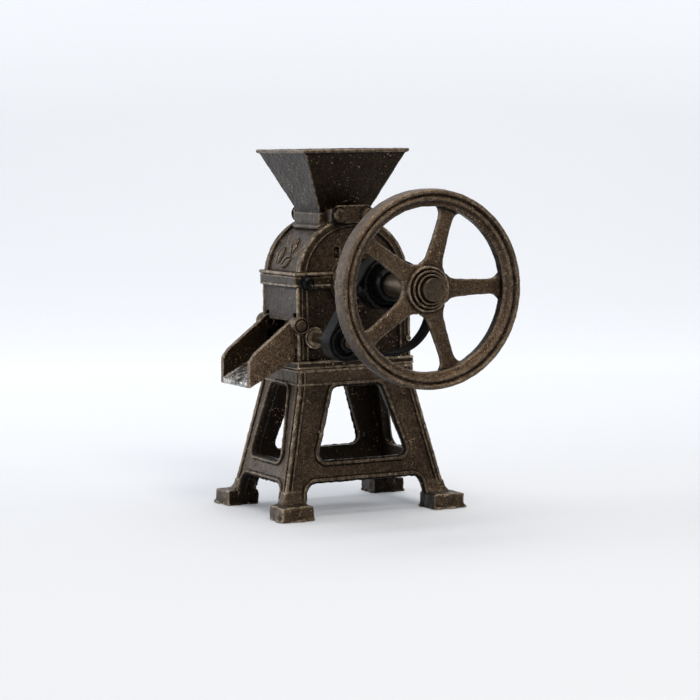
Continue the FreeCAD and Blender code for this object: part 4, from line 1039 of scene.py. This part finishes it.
class MILL_OT_flywheel(Operator):
    """Spoked flywheel with a stepped rim"""
    bl_idname = "mill.flywheel"
    bl_label = "Flywheel"

    def execute(self, context):
        low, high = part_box("flywheel")
        big = (high.z - low.z) / 2
        back, front = 0.189, 0.2094
        rim = [(x, big - drop) for x, drop in (
            (back, 0.0120), (back, 0.0016), (back + 0.0016, 0.0001), (0.1990, -0.0002),
            (front - 0.0020, 0.0002), (front, 0.0018), (front, 0.0044), (front - 0.0026, 0.0056),
            (front - 0.0030, 0.0068), (front - 0.0014, 0.0082), (front - 0.0018, 0.0106),
            (front - 0.0046, 0.0130), (front - 0.0050, 0.0152), (front - 0.0066, 0.0168),
            (back + 0.0060, 0.0168), (back + 0.0030, 0.0158), (back + 0.0022, 0.0136),
            (back, 0.0120))]
        hub = [(0.186, 0.0108), (0.186, 0.0206), (0.1875, 0.0222), (0.1988, 0.0222),
               (0.2004, 0.0212), (0.2004, 0.0196), (0.1984, 0.0190), (0.1980, 0.0108),
               (0.186, 0.0108)]
        pieces = [lathe("rim", rim, turns=260, radius=0.8 * MM), lathe("hub", hub, turns=120)]
        step = 2 * math.pi / sizes().spokes
        pieces += [spoke_mesh(i * step, 0.1928) for i in range(sizes().spokes)]
        obj = melted("flywheel_casting", pieces, 0.85 * MM, 3, 61, (low, high))
        finished(obj, material("casting_wheel"), "running_gear", "casting", "flywheel")
        # the last radii of the collar and of the nut mark a ring of painted shade
        turned_node("hub_collar", "hub_collar_ring",
                    [(200.4, 11), (200.4, 17.9), (203, 17.9), (203, 15.9), (201.7, 15.2), (201.7, 11)],
                    "casting_wheel", "casting", 0.7, shaded_radii=(14, 15.9))
        turned_node("hub_nut", "hub_nut_ring",
                    [(201.8, 11), (201.8, 14.4), (205.8, 14.4), (205.8, 12.6), (204.2, 12.0), (204.2, 11)],
                    "casting_wheel", "steel", 0.7, shaded_radii=(10, 12.5))
        return {"FINISHED"}


# ------------------------------------------------------------------ shafts, bearings and crank
class MILL_OT_running_gear(Operator):
    """Shafts, bearings, collars, pulleys and crank"""
    bl_idname = "mill.running_gear"
    bl_label = "Running gear"

    def execute(self, context):
        turned_node("main_shaft", "main_shaft_bar", [(-104, 0), (-104, 8), (-83, 8), (-83, 11),
                                                     (210, 11), (210, 0)], "steel", "steel", 1.1)
        turned_node("thrust_collar", "thrust_collar_ring", [(62.3, 11), (62.3, 16), (71, 16), (71, 11)],
                    "steel", "steel", 0.9)
        turned_node("crank_nut", "crank_nut_ring", [(-94, 8), (-94, 12.5), (-102, 12.5), (-102, 8)],
                    "steel", "steel", 0.9)
        turned_node("main_pulley", "main_pulley_wheel",
                    [(94, 11), (94, 25), (116, 25), (116, 21.4), (112.4, 20.4), (112, 17.2), (119, 16.6),
                     (126, 15), (126, 11)], "black_iron", "black_iron", 0.9)
        low_axis = (-45, 175)
        turned_node("counter_shaft", "counter_shaft_bar", [(-48, 0), (-48, 5), (123.4, 5), (123.4, 0)],
                    "steel", "steel", 0.8, low_axis)
        turned_node("small_pulley", "small_pulley_wheel",
                    [(94, 5), (94, 15.5), (116, 15.5), (116, 12.6), (113.2, 11.2), (113, 9.6),
                     (121, 8), (121, 5)], "black_iron", "bronze", 0.8, low_axis)
        turned_node("crank_pin", "crank_pin_bar", [(-84, 0), (-84, 4.5), (-206, 4.5), (-206, 7.4),
                                                   (-210, 7.4), (-210, 0)], "steel", "steel", 1.0,
                    (99.5, 229))
        ribs = []
        for a in np.radians(np.arange(0, 360, 60)):
            c, s = np.cos(a), np.sin(a)
            r = np.linspace(0.0185, 0.0250, 8)
            path = np.stack([np.linspace(0.0560, 0.0478, 8), r * c, SHAFT[1] + r * s], -1)
            ribs.append(tube("gusset", path, (0, -s, c), 1.5 * MM))
        cell = 0.7 * MM
        cast_node("bearing_drive", "bearing_drive_casting", "casting", cell, 71, ribs)
        cast_node("bearing_crank", "bearing_crank_casting", "casting", cell, 71)
        cast_node("crank_arm", "crank_arm_forging", "casting", cell, 81, body="running_gear")
        cast_node("adjust_ring", "adjust_ring_casting", "casting", cell, 81, body="adjuster",
                  inset=0.30 * MM)
        return {"FINISHED"}


class MILL_OT_grip(Operator):
    """Turned wooden grip of the crank"""
    bl_idname = "mill.grip"
    bl_label = "Crank grip"

    def execute(self, context):
        low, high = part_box("crank_grip")
        cy, cz = (low.y + high.y) / 2, (low.z + high.z) / 2
        bore = 0.00458
        t = np.linspace(0, 1, 60)
        x = high.x - 0.001 + (low.x - high.x + 0.002) * t
        r = 0.0094 + 0.0033 * np.sin(np.pi * np.clip(t * 1.06, 0, 1)) ** 0.8 \
            - 0.0012 * np.exp(-((t - 0.06) / 0.018) ** 2) - 0.0010 * np.exp(-((t - 0.10) / 0.012) ** 2) \
            - 0.0040 * np.clip((t - 0.95) / 0.05, 0, 1) ** 2
        profile = np.vstack([[(high.x, bore), (high.x, 0.0084)], np.c_[x, r],
                             [(low.x, 0.0062), (low.x, bore), (high.x, bore)]])
        obj = shape_object("crank_grip_wood", lathe("crank_grip_wood", profile, (cy, cz), turns=72))
        finished(obj, material("grip"), "grip", "grip", "crank_grip")
        obj.data.set_sharp_from_angle(angle=math.radians(35))
        return {"FINISHED"}


class MILL_OT_belt(Operator):
    """Flat belt round the two pulleys, tight on one run and slack on the other"""
    bl_idname = "mill.belt"
    bl_label = "Drive belt"

    def execute(self, context):
        rounded_node("drive_belt", "drive_belt_loop", 0.5, "belt", "belt", bend=50.0)
        return {"FINISHED"}


class MILL_OT_fasteners(Operator):
    """Bolts and pins"""
    bl_idname = "mill.fasteners"
    bl_label = "Bolts and pins"

    def execute(self, context):
        # the last pair of radii marks painted shade: a dark ring round the hopper bolt heads and chute pin
        # heads
        turned_set("hopper_bolts", "hopper_bolts_heads",
                   [(33, 0), (33, 2.8), (46.6, 2.8), (46.6, 9.0), (47.3, 8.6), (47.3, 7.4), (47.6, 7.0),
                    (50.8, 7.0), (52.6, 5.6), (52.8, 3.2), (52.2, 2.6), (52.4, 0)],
                   [(-17.5, 294.5), (12.5, 294.5)], "bolt_iron", "steel", 0.4, (7.2, 20))
        turned_set("rim_bolts", "rim_bolts_heads",
                   [(24, 0), (24, 3), (41.4, 3), (41.4, 7.6), (43.2, 7.6), (43.8, 6.9), (43.6, 6.2),
                    (44.0, 6.0), (47.2, 6.0), (48.4, 4.6), (48.6, 2.2), (48.0, 1.8), (48.0, 0)],
                   [(-52, 229), (52, 229)], "black_iron", "black_iron", 0.5)
        turned_set("chute_pins", "chute_pins_heads",
                   [(30.2, 0), (30.2, 4), (40.8, 4), (40.8, 8.6), (44.6, 8.6), (46.0, 7.9), (46.2, 7.2),
                    (45.0, 6.5), (44.7, 5.9), (45.9, 5.3), (46.6, 4.2), (46.8, 0)],
                   [(-60, 187.5)], "bolt_iron", "steel", 0.4, (5.6, 7.0))
        for node, width in (("bearing_bolts", 0.5), ("stand_bolts", 0.6)):
            rounded_node(node, node + "_heads", width, "steel", "steel")
        return {"FINISHED"}


class MILL_OT_inner_works(Operator):
    """Finishes of the pieces inside the housing"""
    bl_idname = "mill.inner_works"
    bl_label = "Inner works"

    def execute(self, context):
        finishes = {"main_bushes": "bronze", "counter_bushes": "casting_inner", "burr_fixed": "burr_iron",
                    "burr_moving": "burr_iron", "feed_barrel": "casting_inner",
                    "burr_carrier": "casting_inner", "feed_auger": "burr_iron",
                    "sweeper": "casting_inner", "wheel_key": "steel", "pulley_screw": "steel",
                    "burr_fixed_screws": "steel", "burr_moving_screws": "steel"}
        for node, finish in finishes.items():
            target = NODES[node]
            target.data.materials.clear()
            target.data.materials.append(material(finish))
        return {"FINISHED"}


# ------------------------------------------------------------------ stage
class MILL_OT_stage(Operator):
    """Pale floor that curves up behind, soft lights and the camera"""
    bl_idname = "mill.stage"
    bl_label = "Stage"

    def execute(self, context):
        stage = context.scene.mill_stage
        scene = context.scene
        a, p, q = stage.heading, stage.dip, stage.tilt
        ahead = Vector((-math.sin(a) * math.cos(p), math.cos(a) * math.cos(p), -math.sin(p)))
        right = Vector((math.cos(a), math.sin(a), 0.0))
        up = right.cross(ahead)
        right, up = right * math.cos(q) + up * math.sin(q), up * math.cos(q) - right * math.sin(q)
        data = bpy.data.cameras.new("camera")
        data.sensor_width = 36.0
        data.lens = stage.lens
        data.clip_end = 60.0
        camera = bpy.data.objects.new("camera", data)
        scene.collection.objects.link(camera)
        turn = Matrix((right, up, -ahead)).transposed().to_4x4()
        camera.matrix_world = Matrix.Translation(Vector(stage.eye)) @ turn
        scene.camera = camera

        reach, flat, curl, wall = 30.0, 31.5, 2.6, 6.0
        u = np.linspace(0, 1, 60)
        bend = np.clip((u - 0.4) / 0.4, 0, 1) * np.pi / 2
        run = np.clip(u / 0.4, 0, 1) * flat - reach + curl * np.sin(bend)
        height = curl * (1 - np.cos(bend)) + np.clip((u - 0.8) / 0.2, 0, 1) * wall
        across = np.linspace(-reach, reach, 5)
        back = Vector((-math.sin(a), math.cos(a)))
        x = run[:, None] * back.x + across * math.cos(a)
        y = run[:, None] * back.y + across * math.sin(a)
        z = np.repeat(height[:, None], 5, 1) - 0.0002
        mesh = bpy.data.meshes.new("studio_floor")
        mesh.from_pydata(np.stack([x, y, z], -1).reshape(-1, 3).tolist(), [],
                         grid_faces(60, 5, False, False).tolist())
        floor = shape_object("studio_floor", mesh)
        mesh.polygons.foreach_set("use_smooth", [True] * len(mesh.polygons))
        mesh.materials.append(material("studio_paper"))

        world = bpy.data.worlds.new("studio")
        world.use_nodes = True
        world.node_tree.nodes["Background"].inputs[0].default_value = (0.96, 0.97, 1.0, 1.0)
        world.node_tree.nodes["Background"].inputs[1].default_value = 0.11
        scene.world = world

        def lamp(name, place, aim, size, power, colour):
            light = bpy.data.lights.new(name, "AREA")
            light.shape = "RECTANGLE"
            light.size, light.size_y = size
            light.energy = power
            light.color = colour
            obj = bpy.data.objects.new(name, light)
            scene.collection.objects.link(obj)
            obj.location = place
            obj.rotation_euler = (Vector(aim) - Vector(place)).to_track_quat("-Z", "Y").to_euler()

        lamp("top_softbox", (0.0, 0.1, 2.4), (0, 0, 0.1), (2.0, 2.0), 46.0, (1.0, 0.99, 0.97))
        lamp("left_softbox", (-1.5, -1.7, 0.9), (0, 0, 0.2), (1.3, 1.2), 21.0, (0.93, 0.96, 1.0))
        lamp("front_softbox", (0.9, -2.2, 0.8), (0, 0, 0.2), (1.2, 1.2), 9.0, (0.94, 0.97, 1.0))
        lamp("key_softbox", (2.0, -0.1, 2.0), (0, 0, 0.2), (0.8, 0.8), 34.0, (1.0, 0.91, 0.80))
        scene.view_settings.view_transform = "Standard"
        scene.view_settings.look = "None"
        return {"FINISHED"}


# ------------------------------------------------------------------ panel and registration
PIECES = (MILL_OT_stand, MILL_OT_housing, MILL_OT_hopper, MILL_OT_chute, MILL_OT_flywheel,
          MILL_OT_running_gear, MILL_OT_grip, MILL_OT_belt, MILL_OT_fasteners, MILL_OT_inner_works,
          MILL_OT_stage)


class MILL_PT_panel(Panel):
    """Lists the mill's pieces, sizes and colours"""
    bl_idname = "MILL_PT_panel"
    bl_label = "Coffee Mill"
    bl_space_type = "VIEW_3D"
    bl_region_type = "UI"
    bl_category = "Coffee Mill"

    def draw(self, context):
        column = self.layout.column()
        for piece in PIECES:
            column.operator(piece.bl_idname)
        for group in (context.scene.mill_sizes, context.scene.mill_colours, context.scene.mill_stage):
            for name in group.__annotations__:
                column.prop(group, name)


CLASSES = (MillSizes, MillColours, MillStage) + PIECES + (MILL_PT_panel,)


def register():
    for item in CLASSES:
        bpy.utils.register_class(item)
    bpy.types.Scene.mill_sizes = PointerProperty(type=MillSizes)
    bpy.types.Scene.mill_colours = PointerProperty(type=MillColours)
    bpy.types.Scene.mill_stage = PointerProperty(type=MillStage)


def unregister():
    del bpy.types.Scene.mill_stage
    del bpy.types.Scene.mill_colours
    del bpy.types.Scene.mill_sizes
    for item in reversed(CLASSES):
        bpy.utils.unregister_class(item)


def main():
    register()
    for piece in PIECES:
        group, name = piece.bl_idname.split(".")
        getattr(getattr(bpy.ops, group), name)()


if __name__ == "__main__":
    main()
